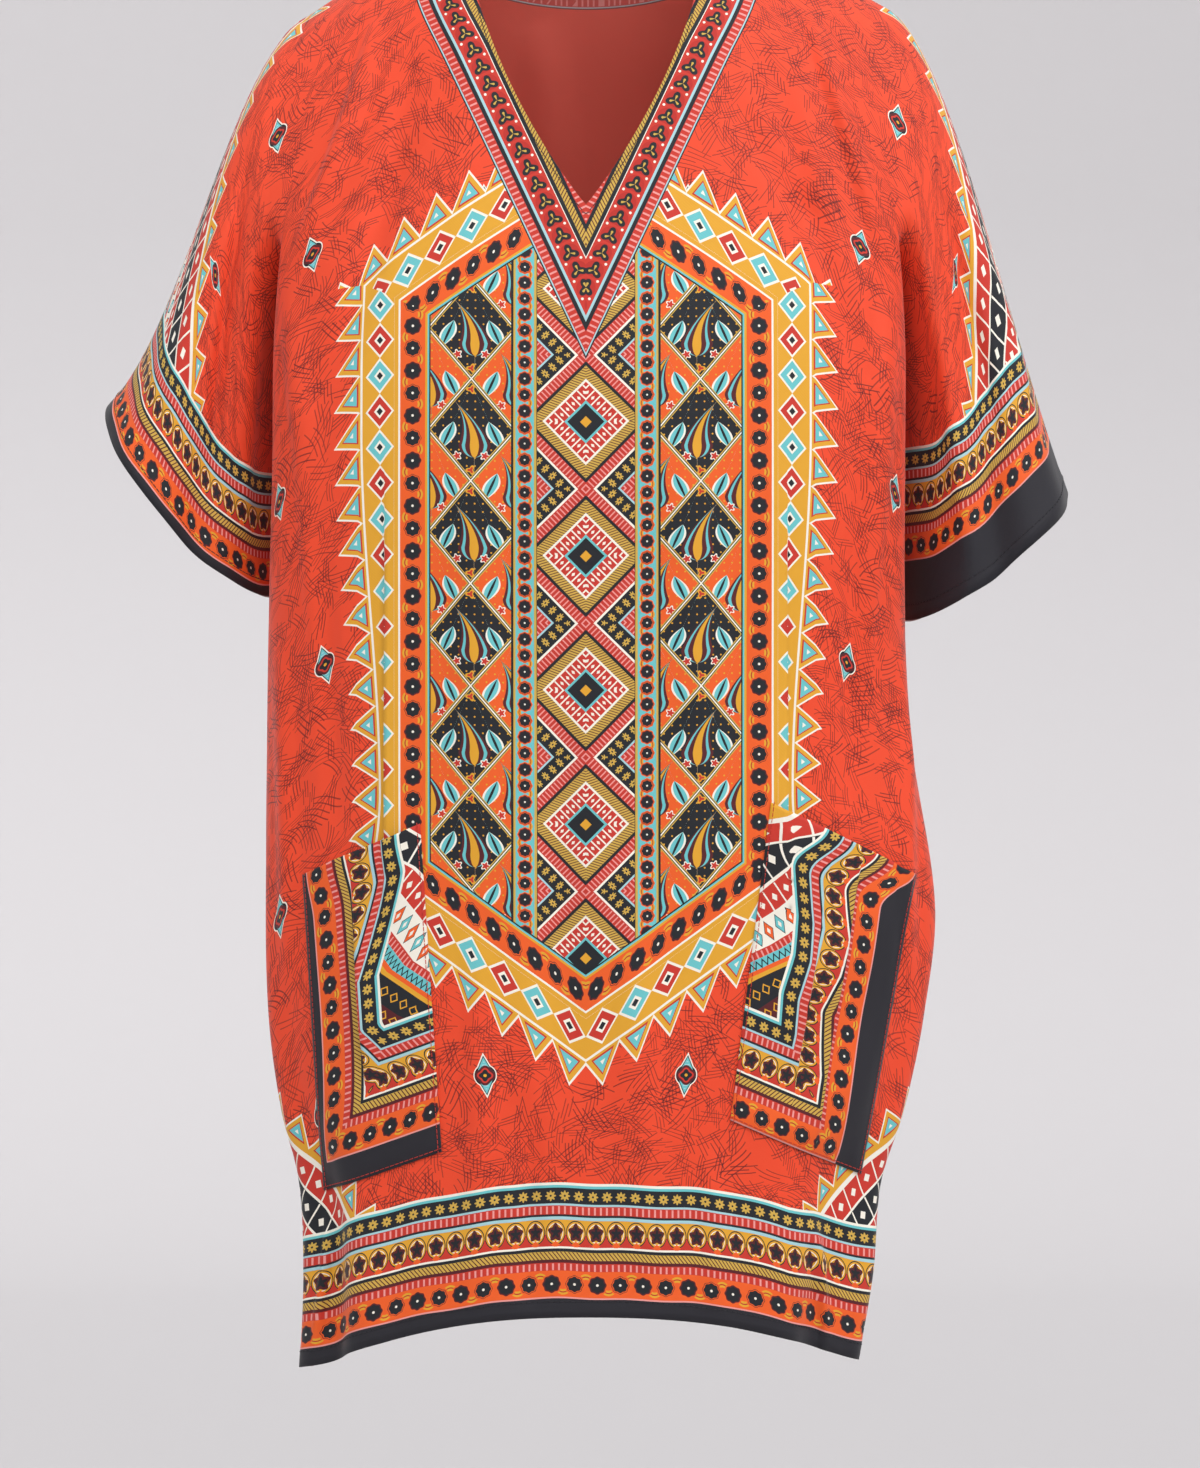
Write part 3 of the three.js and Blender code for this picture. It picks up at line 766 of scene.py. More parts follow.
        halves = {"left": left, "right": right}
        points = both("body", "sleeve", halves)
        folds = both("folds", "sleeve_folds", halves)
        keep = ~np.isnan(folds)
        index = np.full(shape, -1)
        index[keep] = np.arange(keep.sum())
        sheet = Sheet(points[keep], grid_quads(index, self.face is FRONT))
        sheet.raise_by(folds[keep])
        places = {
            "left": self.cut_places(left, LEFT),
            "right": self.cut_places(right, RIGHT),
        }
        signs = np.where(np.arange(shape[1]) < columns, -1.0, 1.0)[None, :]
        u = both("body_u", "cut_u", places)
        v = both("body_v", "cut_v", places)
        a = both("border_a", "sleeve_a", places)
        d = both("border_d", "sleeve_d", places)
        side_distance = both("side", "sleeve_side", places)
        x, z = sheet.points[:, 0], sheet.points[:, 2]
        self.tuck_growth = self.tuck_share(z)
        beyond = np.zeros(shape)
        beyond[:, np.abs(np.arange(shape[1]) - columns) > self.tuck_column] = 1.0
        hidden = beyond[keep] * self.tuck_growth * TUCK_HIDDEN * (self.face is FRONT)
        sheet.maps["cut"] = np.stack([(signs * u)[keep] + np.sign(x) * hidden, v[keep]], 1)
        along = (signs * a)[keep]
        (long, long_run), (short, short_run) = UNEVEN_LONG, UNEVEN_SHORT
        uneven = long * np.sin(along / long_run) + short * np.sin(along / short_run + 1.0)
        sheet.maps["border"] = np.stack([along, d[keep] + uneven], 1)
        sheet.maps["neck"] = self.neck_places(sheet, index)
        from_hem = both("hem", "sleeve_hem", places)
        sheet.maps["side"] = np.stack([side_distance[keep], from_hem[keep]], 1)
        from_edge = self.edge_distance(places, both, keep)
        hem_turn = HEM_STEP * ease((HEM_TURN - from_edge) / HEM_EDGE)
        seams = self.seam_fade(both, places, keep, index)
        heights = self.creases(sheet) + self.tuck(sheet, beyond[keep])
        sheet.raise_by(heights * seams + hem_turn)
        sheet.seams = self.stitch_lines(sheet, index)
        return sheet

    def stitch_lines(self, sheet: Sheet, index: Array) -> list[Array]:
        """Lines of stitches at the hem, the cuffs and the neck.

        Args:
            sheet: the panel's cloth.
            index: grid of point numbers.

        Returns:
            Lines of points: the hem, both cuffs, then the neck.
        """
        middle = index.shape[1] // 2
        body = range(middle - self.half_cells, middle + self.half_cells + 1)
        neck = range(middle - NECK_CELLS, middle + NECK_CELLS + 1)
        arm = range(ARM_CELLS + 1)
        return [
            sheet.inset([index[::-1, column] for column in body], HEM_STITCH),
            sheet.inset([index[row, :middle] for row in arm], HEM_STITCH),
            sheet.inset([index[row, :middle:-1] for row in arm], HEM_STITCH),
            sheet.inset([index[:, column] for column in neck], NECK_STITCH),
        ]

    def edge_distance(self, places: dict, both: Any, keep: Array) -> Array:
        """Distance of each point to the hem or the cuff, without the print's shift."""
        for side in (LEFT, RIGHT):
            shift = BAND_PLAIN_EDGE - side.plain_cuff
            places[side.name]["plain_d"] = places[side.name]["border_d"].copy()
            places[side.name]["plain_d"][: ARM_CELLS + 1] = FAR
            places[side.name]["plain_sleeve"] = places[side.name]["sleeve_d"] - shift
        return both("plain_d", "plain_sleeve", places)[keep]

    def seam_fade(self, both: Any, places: dict, keep: Array, index: Array) -> Array:
        """Share of a crease that is left near the seams, where the cloth is held.

        Args:
            both: makes a whole grid of two named arrays.
            places: each half's places in the cut.
            keep: cells of the grid that hold a point.
            index: grid of point numbers.

        Returns:
            A share for each point.
        """
        rows = np.arange(index.shape[0])[:, None] * np.ones(index.shape)[:1]
        side = both("side", "sleeve_side", places)
        near_side = np.where(np.arange(index.shape[0])[:, None] > ARM_CELLS, side, FAR)
        near_top = ease(rows / HELD_TOP)
        arm = np.arange(index.shape[0])[:, None] <= ARM_CELLS
        outer = np.abs(np.arange(index.shape[1]) - index.shape[1] // 2) > self.half_cells
        near_under = np.where(arm & outer[None, :], ease((ARM_CELLS - rows) / HELD_UNDER), 1.0)
        return (ease(near_side / HELD_SIDE) * near_top * near_under)[keep]

    def tuck_share(self, z: Array) -> Array:
        """How far the tuck has opened at a height."""
        opened = ease((TUCK_TOP - z) / (TUCK_TOP - TUCK_FULL))
        return opened * ease((z - TUCK_END) / (TUCK_FULL - TUCK_END))

    def tuck(self, sheet: Sheet, beyond: Array) -> Array:
        """Height of the front's two loose tucks: a ridge inside the step, a trough outside.

        Args:
            sheet: the panel's cloth.
            beyond: 1 outside the tuck, 0 inside it.

        Returns:
            A height for each point.
        """
        if self.face is BACK:
            return np.zeros(len(beyond))
        from_tuck = abs(sheet.points[:, 0]) - TUCK_X
        inner = TUCK_RIDGE * np.exp(np.minimum(from_tuck, 0) / TUCK_INNER)
        outer = -TUCK_TROUGH * np.exp(-np.maximum(from_tuck, 0) / TUCK_OUTER)
        return np.where(beyond > 0, outer, inner) * self.tuck_growth

    def creases(self, sheet: Sheet) -> Array:
        """Height of the listed creases at each point.

        Args:
            sheet: the panel's cloth.

        Returns:
            A height for each point.
        """
        place = sheet.points[:, [0, 2]]
        facing = clamp(sheet.normals()[:, 1] * self.face.sign * CREASE_FACING)
        heights = np.zeros(len(place))
        for crease in CREASES:
            if crease.face is not self.face:
                continue
            w = np.linspace(0, 1, CREASE_POINTS)[:, None]
            start, bend, end = (np.array(p, float) for p in (crease.start, crease.bend, crease.end))
            line = start * (1 - w) ** 2 + 2 * bend * w * (1 - w) + end * w**2
            low, high = line.min(0) - crease.half, line.max(0) + crease.half
            near = np.flatnonzero(((place > low) & (place < high)).all(1))
            if not len(near):
                continue
            offset = place[near, None] - line[None, :-1]
            run = np.diff(line, axis=0)
            along = clamp((offset * run).sum(2) / (run**2).sum(1))
            miss = offset - along[..., None] * run
            distance = np.linalg.norm(miss, axis=2)
            best = distance.argmin(1)
            pick = np.arange(len(near))
            share = (best + along[pick, best]) / len(run)
            side = run[best, 0] * miss[pick, best, 1] - run[best, 1] * miss[pick, best, 0]
            half = crease.half * np.where(side < 0, crease.crisp, 1.0)
            fade = np.sin(math.pi * clamp(share)) ** CREASE_FADE
            heights[near] += CREASE_DEPTH * crease.out * fade * crest(distance[pick, best], half)
        return heights * facing

    def neck_places(self, sheet: Sheet, index: Array) -> Array:
        """Places along and across the printed neck band, from the V's inner printed line.

        Args:
            sheet: the panel's cloth.
            index: grid of point numbers.

        Returns:
            A pair of places for each point.
        """
        x, _, z = sheet.points.T
        if self.face is FRONT:
            line = NECK_LINE.at("out", z)
            slope = NECK_LINE.at("out", z + 1) - line
            cosine = 1 / np.hypot(1, slope)
            across = NECK_BAND_WIDTH - (line - abs(x)) * cosine
            along = (z - NECK_POINT_Z) / NECK_RUN_COSINE + (abs(x) - line) * slope * cosine
            return np.stack([along, across], 1)
        middle = index.shape[1] // 2
        edge = sheet.points[index[0, middle - NECK_CELLS : middle + NECK_CELLS + 1]]
        lengths = np.concatenate([[0], np.cumsum(np.linalg.norm(np.diff(edge, axis=0), axis=1))])
        near = np.flatnonzero((abs(x) < BACK_NECK_REACH) & (z > BACK_NECK_LOW))
        places = np.full((len(x), 2), NECK_FAR)
        reach = np.linalg.norm(sheet.points[near, None] - edge[None], axis=2)
        best = reach.argmin(1)
        places[near, 0] = lengths[best]
        places[near, 1] = BACK_NECK_START + reach[np.arange(len(near)), best]
        return places


# The printed neck band: the outer printed line, as half widths at a height.
NECK_POINT_Z = -274.0
NECK_RUN_COSINE = math.cos(math.radians(25))
NECK_BAND_WIDTH = 38.5
BACK_NECK_START = 7.0  # where the back's neck edge lies across the printed band
BACK_NECK_REACH, BACK_NECK_LOW = 150, -110  # holds all of the band on the back
NECK_LINE = Table(
    "z out", (40, 104), (0, 105), (-30, 103.5), (-62, 98), (-100, 81), (-200, 34.6),
    (-274, 0), (-320, -21.5),
)
BAND_PLAIN_EDGE = 10.3  # width of the plain black edge at the hem


# ---- pockets -------------------------------------------------------------------------------------

POCKET_STAND_OFF, POCKET_EDGE = 2.1, 1.05  # height over the panel, in the middle and at the seams
POCKET_HELD, POCKET_RELIEF_HELD = 9.0, 12.0  # how far from its seams a pocket is held down
POCKET_STITCH = 2.0  # from its edges in
POCKET_RAY = -400.0  # start of the rays that find the panel, in front of it
PLAIN_FULL = 0.16  # share down at which the side's black edge has its lower width
LAP_OVER, LAP_UNDER = 0.16, -0.05  # heights beside a pleat, for each mm that it hides
LAP_REACH = 9.0  # how fast they die away
SWAY_OVER, SWAY_SHIFT, SWAY_DOWN, SWAY_START = 7.0, 3.2, 9.0, 0.6  # run of the soft waves


@dataclass(frozen=True)
class Pleat:
    """A soft fold down a pocket, whose inner cloth laps over the outer.

    over is its share across from the inner side. hidden holds pairs of a share down and the width
    of print that the lap hides there.
    """

    over: float
    hidden: tuple[tuple[float, float], ...]

    def at(self, down: Array) -> Array:
        """Width hidden at each share down."""
        places, widths = zip(*self.hidden)
        return np.interp(down, places, widths)


@dataclass(frozen=True)
class Pocket:
    """A patch pocket, by its corners as (x, z) from the centre."""

    name: str
    side: Side
    inner_top: tuple[float, float]
    outer_top: tuple[float, float]
    inner_bottom: tuple[float, float]
    outer_bottom: tuple[float, float]
    bag: float
    plain_side: tuple[float, float]  # width of the black edge at the top and further down
    plain_bottom: float
    pleats: tuple[Pleat, ...]
    sway: float  # depth of the soft waves down it
    rows: int = 90
    cells: int = 46  # across, before the pleats' own columns
    pleat_share: float = 0.004  # half the share between a pleat's two columns

    def shares(self) -> Array:
        """Shares across, with two columns close together at each pleat.

        Returns:
            The shares, from the inner side out.
        """
        places, start = [], 0.0
        for pleat in sorted(self.pleats, key=lambda p: p.over):
            before, after = pleat.over - self.pleat_share, pleat.over + self.pleat_share
            places.append((start, before, round((pleat.over - start) * self.cells)))
            places.append((before, after, 1))
            start = after
        places.append((start, 1.0, round((1 - start) * self.cells)))
        return steps(*places)

    def laid(self, panel: Sheet, over: Array, down: Array) -> tuple[Array, Array]:
        """Lays the pocket's grid on the panel, seen from the front.

        Args:
            panel: the front panel's sheet.
            over: shares across from the inner side.
            down: shares down from the slanted top.

        Returns:
            The points on the panel, and the panel's outward direction at each.
        """
        tree = BVHTree.FromPolygons(panel.points.tolist(), panel.quads.tolist())
        inner_top, outer_top, inner_bottom, outer_bottom = (
            np.array(corner, float)
            for corner in (self.inner_top, self.outer_top, self.inner_bottom, self.outer_bottom)
        )
        top = mix(inner_top, outer_top, over[..., None])
        bottom = mix(inner_bottom, outer_bottom, over[..., None])
        flat = mix(top, bottom, down[..., None])
        points, facing = np.zeros(over.shape + (3,)), np.zeros(over.shape + (3,))
        for cell in np.ndindex(over.shape):
            x, z = self.side.sign * flat[cell][0], flat[cell][1]
            hit, normal, _, _ = tree.ray_cast(Vector((x, POCKET_RAY, z)), Vector((0, 1, 0)))
            points[cell] = hit
            facing[cell] = -normal if normal.y > 0 else normal
        return points, facing

    def sheet(self, panel: Sheet) -> Sheet:
        """The pocket's cloth, laid on the panel's own surface and moved out.

        Args:
            panel: the front panel's cloth.

        Returns:
            The pocket's cloth.
        """
        over, down = np.meshgrid(self.shares(), np.linspace(0, 1, self.rows + 1))
        points, facing = self.laid(panel, over, down)
        widths = np.linalg.norm(np.diff(points, axis=1), axis=2)
        lengths = np.linalg.norm(np.diff(points, axis=0), axis=2)
        side = np.zeros(over.shape)
        side[:, :-1] = np.cumsum(widths[:, ::-1], axis=1)[:, ::-1]
        bottom = np.zeros(over.shape)
        bottom[:-1] = np.cumsum(lengths[::-1], axis=0)[::-1]
        inner = side[:, :1] - side
        sewn = np.minimum(np.minimum(side, inner), bottom)
        relief = np.zeros(over.shape)
        for pleat in self.pleats:
            lap = pleat.at(down)
            beyond = over < pleat.over
            reach = abs(side - side[:, [int(np.argmin(abs(over[0] - pleat.over)))]])
            relief += np.where(beyond, LAP_OVER, LAP_UNDER) * lap * np.exp(-reach / LAP_REACH)
            side = side + lap * beyond
        across_wave = np.sin(over * SWAY_OVER + down * SWAY_SHIFT)
        relief += self.sway * across_wave * np.sin(down * SWAY_DOWN + SWAY_START)
        mouth = np.sin(math.pi * over) * (1 - down) ** 3
        lift = POCKET_EDGE + (POCKET_STAND_OFF - POCKET_EDGE) * ease(sewn / POCKET_HELD)
        relief = relief * ease(sewn / POCKET_RELIEF_HELD)
        lift = np.maximum(lift + self.bag * mouth + relief, POCKET_EDGE)
        facing /= np.linalg.norm(facing, axis=2, keepdims=True)
        points = points + facing * lift[..., None]
        index = np.arange(over.size).reshape(over.shape)
        sheet = Sheet(points.reshape(-1, 3), grid_quads(index, self.side is RIGHT))
        plain = mix(self.plain_side[0], self.plain_side[1], ease(down / PLAIN_FULL))
        side = side + BAND_PLAIN_EDGE - plain
        bottom = bottom + BAND_PLAIN_EDGE - self.plain_bottom
        sheet.maps["pocket"] = np.stack([side.ravel(), bottom.ravel()], 1)
        sheet.seams = [
            sheet.inset(list(paths), POCKET_STITCH)
            for paths in (index[:, ::-1], index[::-1].T, index)
        ]
        return sheet


POCKETS = (
    Pocket(
        "pocket_left", LEFT, (94, -537), (162, -567), (82, -724), (151, -750), 3.0, (3.5, 7.5),
        16.0, (Pleat(0.58, ((0, 0), (0.12, 2), (0.4, 24), (0.55, 24), (0.72, 0), (1, 0))),), 0.5,
    ),
    Pocket(
        "pocket_right", RIGHT, (105, -525), (189, -567), (82, -706), (158, -740), 3.5, (2.0, 21.0),
        0.0, (
            Pleat(0.62, ((0, 0), (0.16, 4), (0.3, 10), (0.42, 8), (0.55, 1), (0.75, 7), (1, 5))),
            Pleat(0.42, ((0, 0), (0.3, 1), (0.55, 9), (0.66, 8), (0.85, 1), (1, 0))),
        ), 1.5,
    ),
)


# ---- prints --------------------------------------------------------------------------------------


def linear(hex_colour: str) -> tuple[float, float, float, float]:
    """Linear colour of an sRGB hex value.

    Args:
        hex_colour: sRGB value such as #EF4A26.

    Returns:
        Red, green, blue and 1 as the shaders take them.
    """
    channels = [int(hex_colour[i : i + 2], 16) / 255 for i in (1, 3, 5)]
    curve = [c / 12.92 if c <= 0.04045 else ((c + 0.055) / 1.055) ** 2.4 for c in channels]
    return (*curve, 1.0)


def add(
    tree: bpy.types.NodeTree,
    kind: str,
    settings: dict[str, Any] | None = None,
    inputs: dict[Any, Any] | None = None,
    output: Any = 0,
) -> Any:
    """Adds a node with its settings and links.

    Args:
        tree: the tree to add to.
        kind: Blender's name of the node's type.
        settings: the node's own settings.
        inputs: a value or a socket for each input, by name or number.
        output: name or number of the output that is returned.

    Returns:
        The output socket, or the node where it has none.
    """
    node = tree.nodes.new(kind)
    for name, value in (settings or {}).items():
        setattr(node, name, value)
    for name, value in (inputs or {}).items():
        if isinstance(value, Signal):
            value = value.socket
        if isinstance(value, bpy.types.NodeSocket):
            tree.links.new(value, node.inputs[name])
        else:
            node.inputs[name].default_value = value
    return node.outputs[output] if len(node.outputs) else node


def bare_material(name: str) -> bpy.types.Material:
    """A new material without nodes.

    Args:
        name: the finish's name.

    Returns:
        The material.
    """
    made = bpy.data.materials.new(name)
    made.use_nodes = True
    made.node_tree.nodes.clear()
    return made


class Signal:
    """A number at each point of the cloth, with arithmetic that adds nodes to the tree."""

    def __init__(self, socket: bpy.types.NodeSocket) -> None:
        """Keeps the socket that carries the number."""
        self.socket = socket

    def apply(self, operation: str, *others: "Signal | float") -> "Signal":
        """Result of an operation of the Math node on this signal and others.

        Args:
            operation: Blender's name of the operation.
            others: its other inputs.

        Returns:
            The result, as a signal.
        """
        inputs = dict(enumerate((self, *others)))
        tree = self.socket.id_data
        return Signal(add(tree, "ShaderNodeMath", {"operation": operation}, inputs))

    def __rsub__(self, other: float) -> "Signal":
        """A number less this signal."""
        return self * -1 + other

    def cell(self, pitch: float) -> "Signal":
        """Distance from the middle of a repeat, from -pitch/2 to pitch/2."""
        return self.apply("FLOORED_MODULO", pitch) - pitch / 2

    def count(self, pitch: float) -> "Signal":
        """Number of the repeat that a point lies in."""
        return (self / pitch).apply("FLOOR")

    def odd(self) -> "Signal":
        """1 for an odd whole number, 0 for an even one."""
        return self.apply("FLOORED_MODULO", 2.0) > 0.5


def operator(operation: str) -> Any:
    """A method that applies one operation of the Math node."""
    return lambda self, *others: self.apply(operation, *others)


for _name, _operation in {
    "__add__": "ADD", "__sub__": "SUBTRACT", "__mul__": "MULTIPLY", "__truediv__": "DIVIDE",
    "__lt__": "LESS_THAN", "__gt__": "GREATER_THAN", "__abs__": "ABSOLUTE",
    "least": "MINIMUM", "most": "MAXIMUM", "sine": "SINE", "cosine": "COSINE",
    "root": "SQRT", "bearing": "ARCTAN2",
}.items():
    setattr(Signal, _name, operator(_operation))


def most(a: Any, b: Any) -> Any:
    """The greater of two numbers, arrays or signals, of which a signal comes first."""
    return a.most(b) if isinstance(a, Signal) else np.maximum(a, b)


class Ink(Enum):
    """The print's colours."""

    GROUND = "#EF4A26"
    DEEP_RED = "#BC2A20"
    BRICK = "#CC3527"
    ORANGE = "#F0601F"
    GOLD = "#E5A62C"
    HATCH_GOLD = "#D2AC4C"
    CREAM = "#F8F2E4"
    PINK = "#EC9C96"
    TURQUOISE = "#6CC6CA"
    PALE_BLUE = "#A9D3DA"
    CHARCOAL = "#1B1E24"
    EDGE_BLACK = "#232229"
    MAROON = "#571A1F"
    SCRIBBLE = "#4E1216"


class Motif(Enum):
    """What fills a row of a printed band."""

    PLAIN = auto()
    COMB = auto()
    HATCH = auto()
    SMALL_ROSETTES = auto()
    ARCHES = auto()
    LOTUS = auto()
    BOLD_ROSETTES = auto()
    ZIGZAG = auto()
    DOTS = auto()
    DIAMONDS = auto()
    GEMS = auto()
    STEPS = auto()


@dataclass(frozen=True)
class Row:
    """One row of a printed band: its width, its ink and its motif."""

    width: float
    ink: Ink
    motif: Motif = Motif.PLAIN


# From the hem's edge up.
BORDER_ROWS = (
    Row(BAND_PLAIN_EDGE, Ink.EDGE_BLACK),
    Row(1.0, Ink.PINK),
    Row(14.8, Ink.ORANGE, Motif.BOLD_ROSETTES),
    Row(4.6, Ink.BRICK, Motif.COMB),
    Row(1.7, Ink.MAROON),
    Row(4.6, Ink.HATCH_GOLD, Motif.HATCH),
    Row(1.8, Ink.CHARCOAL),
    Row(1.1, Ink.CREAM),
    Row(15.4, Ink.BRICK, Motif.ARCHES),
    Row(1.7, Ink.PALE_BLUE),
    Row(1.2, Ink.CHARCOAL),
    Row(5.2, Ink.BRICK, Motif.COMB),
    Row(1.1, Ink.PALE_BLUE),
    Row(8.9, Ink.CHARCOAL, Motif.SMALL_ROSETTES),
    Row(1.7, Ink.TURQUOISE),
    Row(1.5, Ink.CREAM),
)
# From the V's inner printed line out.
NECK_ROWS = (
    Row(5.5, Ink.BRICK, Motif.COMB),
    Row(2.0, Ink.CHARCOAL),
    Row(3.8, Ink.HATCH_GOLD, Motif.HATCH),
    Row(2.3, Ink.CHARCOAL),
    Row(0.5, Ink.CREAM),
    Row(13.8, Ink.BRICK, Motif.LOTUS),
    Row(1.5, Ink.PALE_BLUE),
    Row(2.3, Ink.CHARCOAL),
    Row(5.2, Ink.BRICK, Motif.COMB),
    Row(0.8, Ink.PALE_BLUE),
    Row(0.8, Ink.CHARCOAL),
)
# From the middle of a set of nested lozenges out.
NEST_ROWS = (
    Row(9.0, Ink.MAROON, Motif.STEPS),
    Row(13.0, Ink.CHARCOAL, Motif.STEPS),
    Row(2.4, Ink.GOLD),
    Row(2.2, Ink.ORANGE),
    Row(5.6, Ink.TURQUOISE, Motif.ZIGZAG),
    Row(4.4, Ink.BRICK, Motif.COMB),
    Row(14.0, Ink.CREAM, Motif.GEMS),
    Row(11.0, Ink.BRICK, Motif.DOTS),
    Row(1.6, Ink.CREAM),
    Row(15.0, Ink.CHARCOAL, Motif.DOTS),
    Row(1.6, Ink.CREAM),
    Row(15.0, Ink.BRICK, Motif.DOTS),
    Row(3.4, Ink.CREAM),
    Row(3.4, Ink.GOLD),
)
# From the centre panel's outer line in.
PANEL_ROWS = (
    Row(1.2, Ink.CREAM),
    Row(2.0, Ink.GOLD),
    Row(17.0, Ink.CREAM, Motif.DIAMONDS),
    Row(2.4, Ink.GOLD),
    Row(1.2, Ink.CREAM),
    Row(14.6, Ink.ORANGE, Motif.BOLD_ROSETTES),
    Row(1.2, Ink.GOLD),
    Row(1.0, Ink.TURQUOISE),
    Row(0.9, Ink.CHARCOAL),
)
# From the centre column's outer line in.
COLUMN_ROWS = (
    Row(0.9, Ink.CHARCOAL),
    Row(1.2, Ink.HATCH_GOLD),
    Row(10.5, Ink.TURQUOISE, Motif.BOLD_ROSETTES),
    Row(1.4, Ink.HATCH_GOLD),
    Row(0.9, Ink.CHARCOAL),
)
# From the middle of each of the centre column's lozenges out.
HEART_ROWS = (
    Row(2.0, Ink.GOLD),
    Row(4.4, Ink.CHARCOAL),
    Row(1.2, Ink.TURQUOISE),
    Row(6.4, Ink.BRICK, Motif.DOTS),
    Row(1.2, Ink.CREAM),
    Row(4.6, Ink.HATCH_GOLD, Motif.HATCH),
    Row(1.4, Ink.CHARCOAL),
    Row(5.0, Ink.BRICK, Motif.COMB),
    Row(1.0, Ink.CREAM),
    Row(7.4, Ink.CHARCOAL, Motif.SMALL_ROSETTES),
    Row(1.0, Ink.PALE_BLUE),
    Row(5.0, Ink.BRICK, Motif.COMB),
    Row(1.2, Ink.CHARCOAL),
    Row(4.4, Ink.HATCH_GOLD, Motif.HATCH),
    Row(1.4, Ink.CHARCOAL),
)
BAND_DEPTH = sum(row.width for row in BORDER_ROWS)
NEST_DEPTH = sum(row.width for row in NEST_ROWS)

# The centre panel and its column, as half widths and lengths in the cut.
PANEL_HALF, PANEL_FOOT, PANEL_HEAD = 130.0, 705.0, 222.0
PANEL_SLANT, PANEL_RISE = 0.57, 0.82  # direction of its slanted ends, across and down
PANEL_HEAD_CUT = 42.0  # depth by which the head's slants are moved out
COLUMN_HALF = 42.0
HEART_LENGTH = 76.0
SLEEVE_NEST, CORNER_NEST = 106.0, 92.0
SLEEVE_SLOPE, CORNER_SLOPE, POCKET_SLOPE = 0.52, 0.65, 0.72
TOOTH_PITCH, TOOTH_HEIGHT = 21.0, 15.0

# Layers of pen strokes, as (angle in radians, distance apart, length). The real strokes are about
# 0.3 mm wide and lie closer together. They are drawn coarser, so that they show.
STROKES = (
    (0.25, 1.7, 21.0), (0.85, 2.2, 27.0), (1.5, 1.6, 18.0), (2.15, 2.0, 25.0), (2.75, 2.6, 31.0),
)
STROKE_HALF = 0.25
STROKE_BUNDLE = 3  # strokes side by side that start and end nearly together
STROKE_BARE = 0.6  # share of them that is left out
STROKE_DRIFT, STROKE_DRIFT_SCALE = 13.0, 0.026  # how far the layers wander, and how quickly

# The sprigs' repeat across and down, the first one's place and the shift of each second row.
SPRIG_ACROSS, SPRIG_DOWN = 104.0, 124.0
SPRIG_FIRST, SPRIG_TOP, SPRIG_SHIFT = 5.0, 92.0, 27.0

# The lattice's lozenges: their width, their height and where the first one lies.
LATTICE_WIDE, LATTICE_TALL, LATTICE_FIRST = 50.0, 58.0, 40.0


def sleeve_reach(v: Any, d: Any) -> Any:
    """Measure out from the middle of the nested lozenges on a sleeve's top line."""
    return most(d - BAND_DEPTH, 0.0) * SLEEVE_SLOPE + v


def corner_reach(seam: Any, hem: Any) -> Any:
    """Measure out from the middle of the nested lozenges at a side seam, above the hem band."""
    return most(hem - BAND_DEPTH, 0.0) * CORNER_SLOPE + seam


def panel_reach(u: Any, v: Any) -> Any:
    """Distance outside the centre panel's outline, below zero inside it.

    Args:
        u: place across the cut.
        v: place down the cut.

    Returns:
        A distance for each place.
    """
    wide = abs(u)
    foot = (v - PANEL_FOOT) * PANEL_RISE + wide * PANEL_SLANT
    head = (PANEL_HEAD - v) * PANEL_RISE + wide * PANEL_SLANT - PANEL_HEAD_CUT
    return most(most(wide - PANEL_HALF, foot), head)


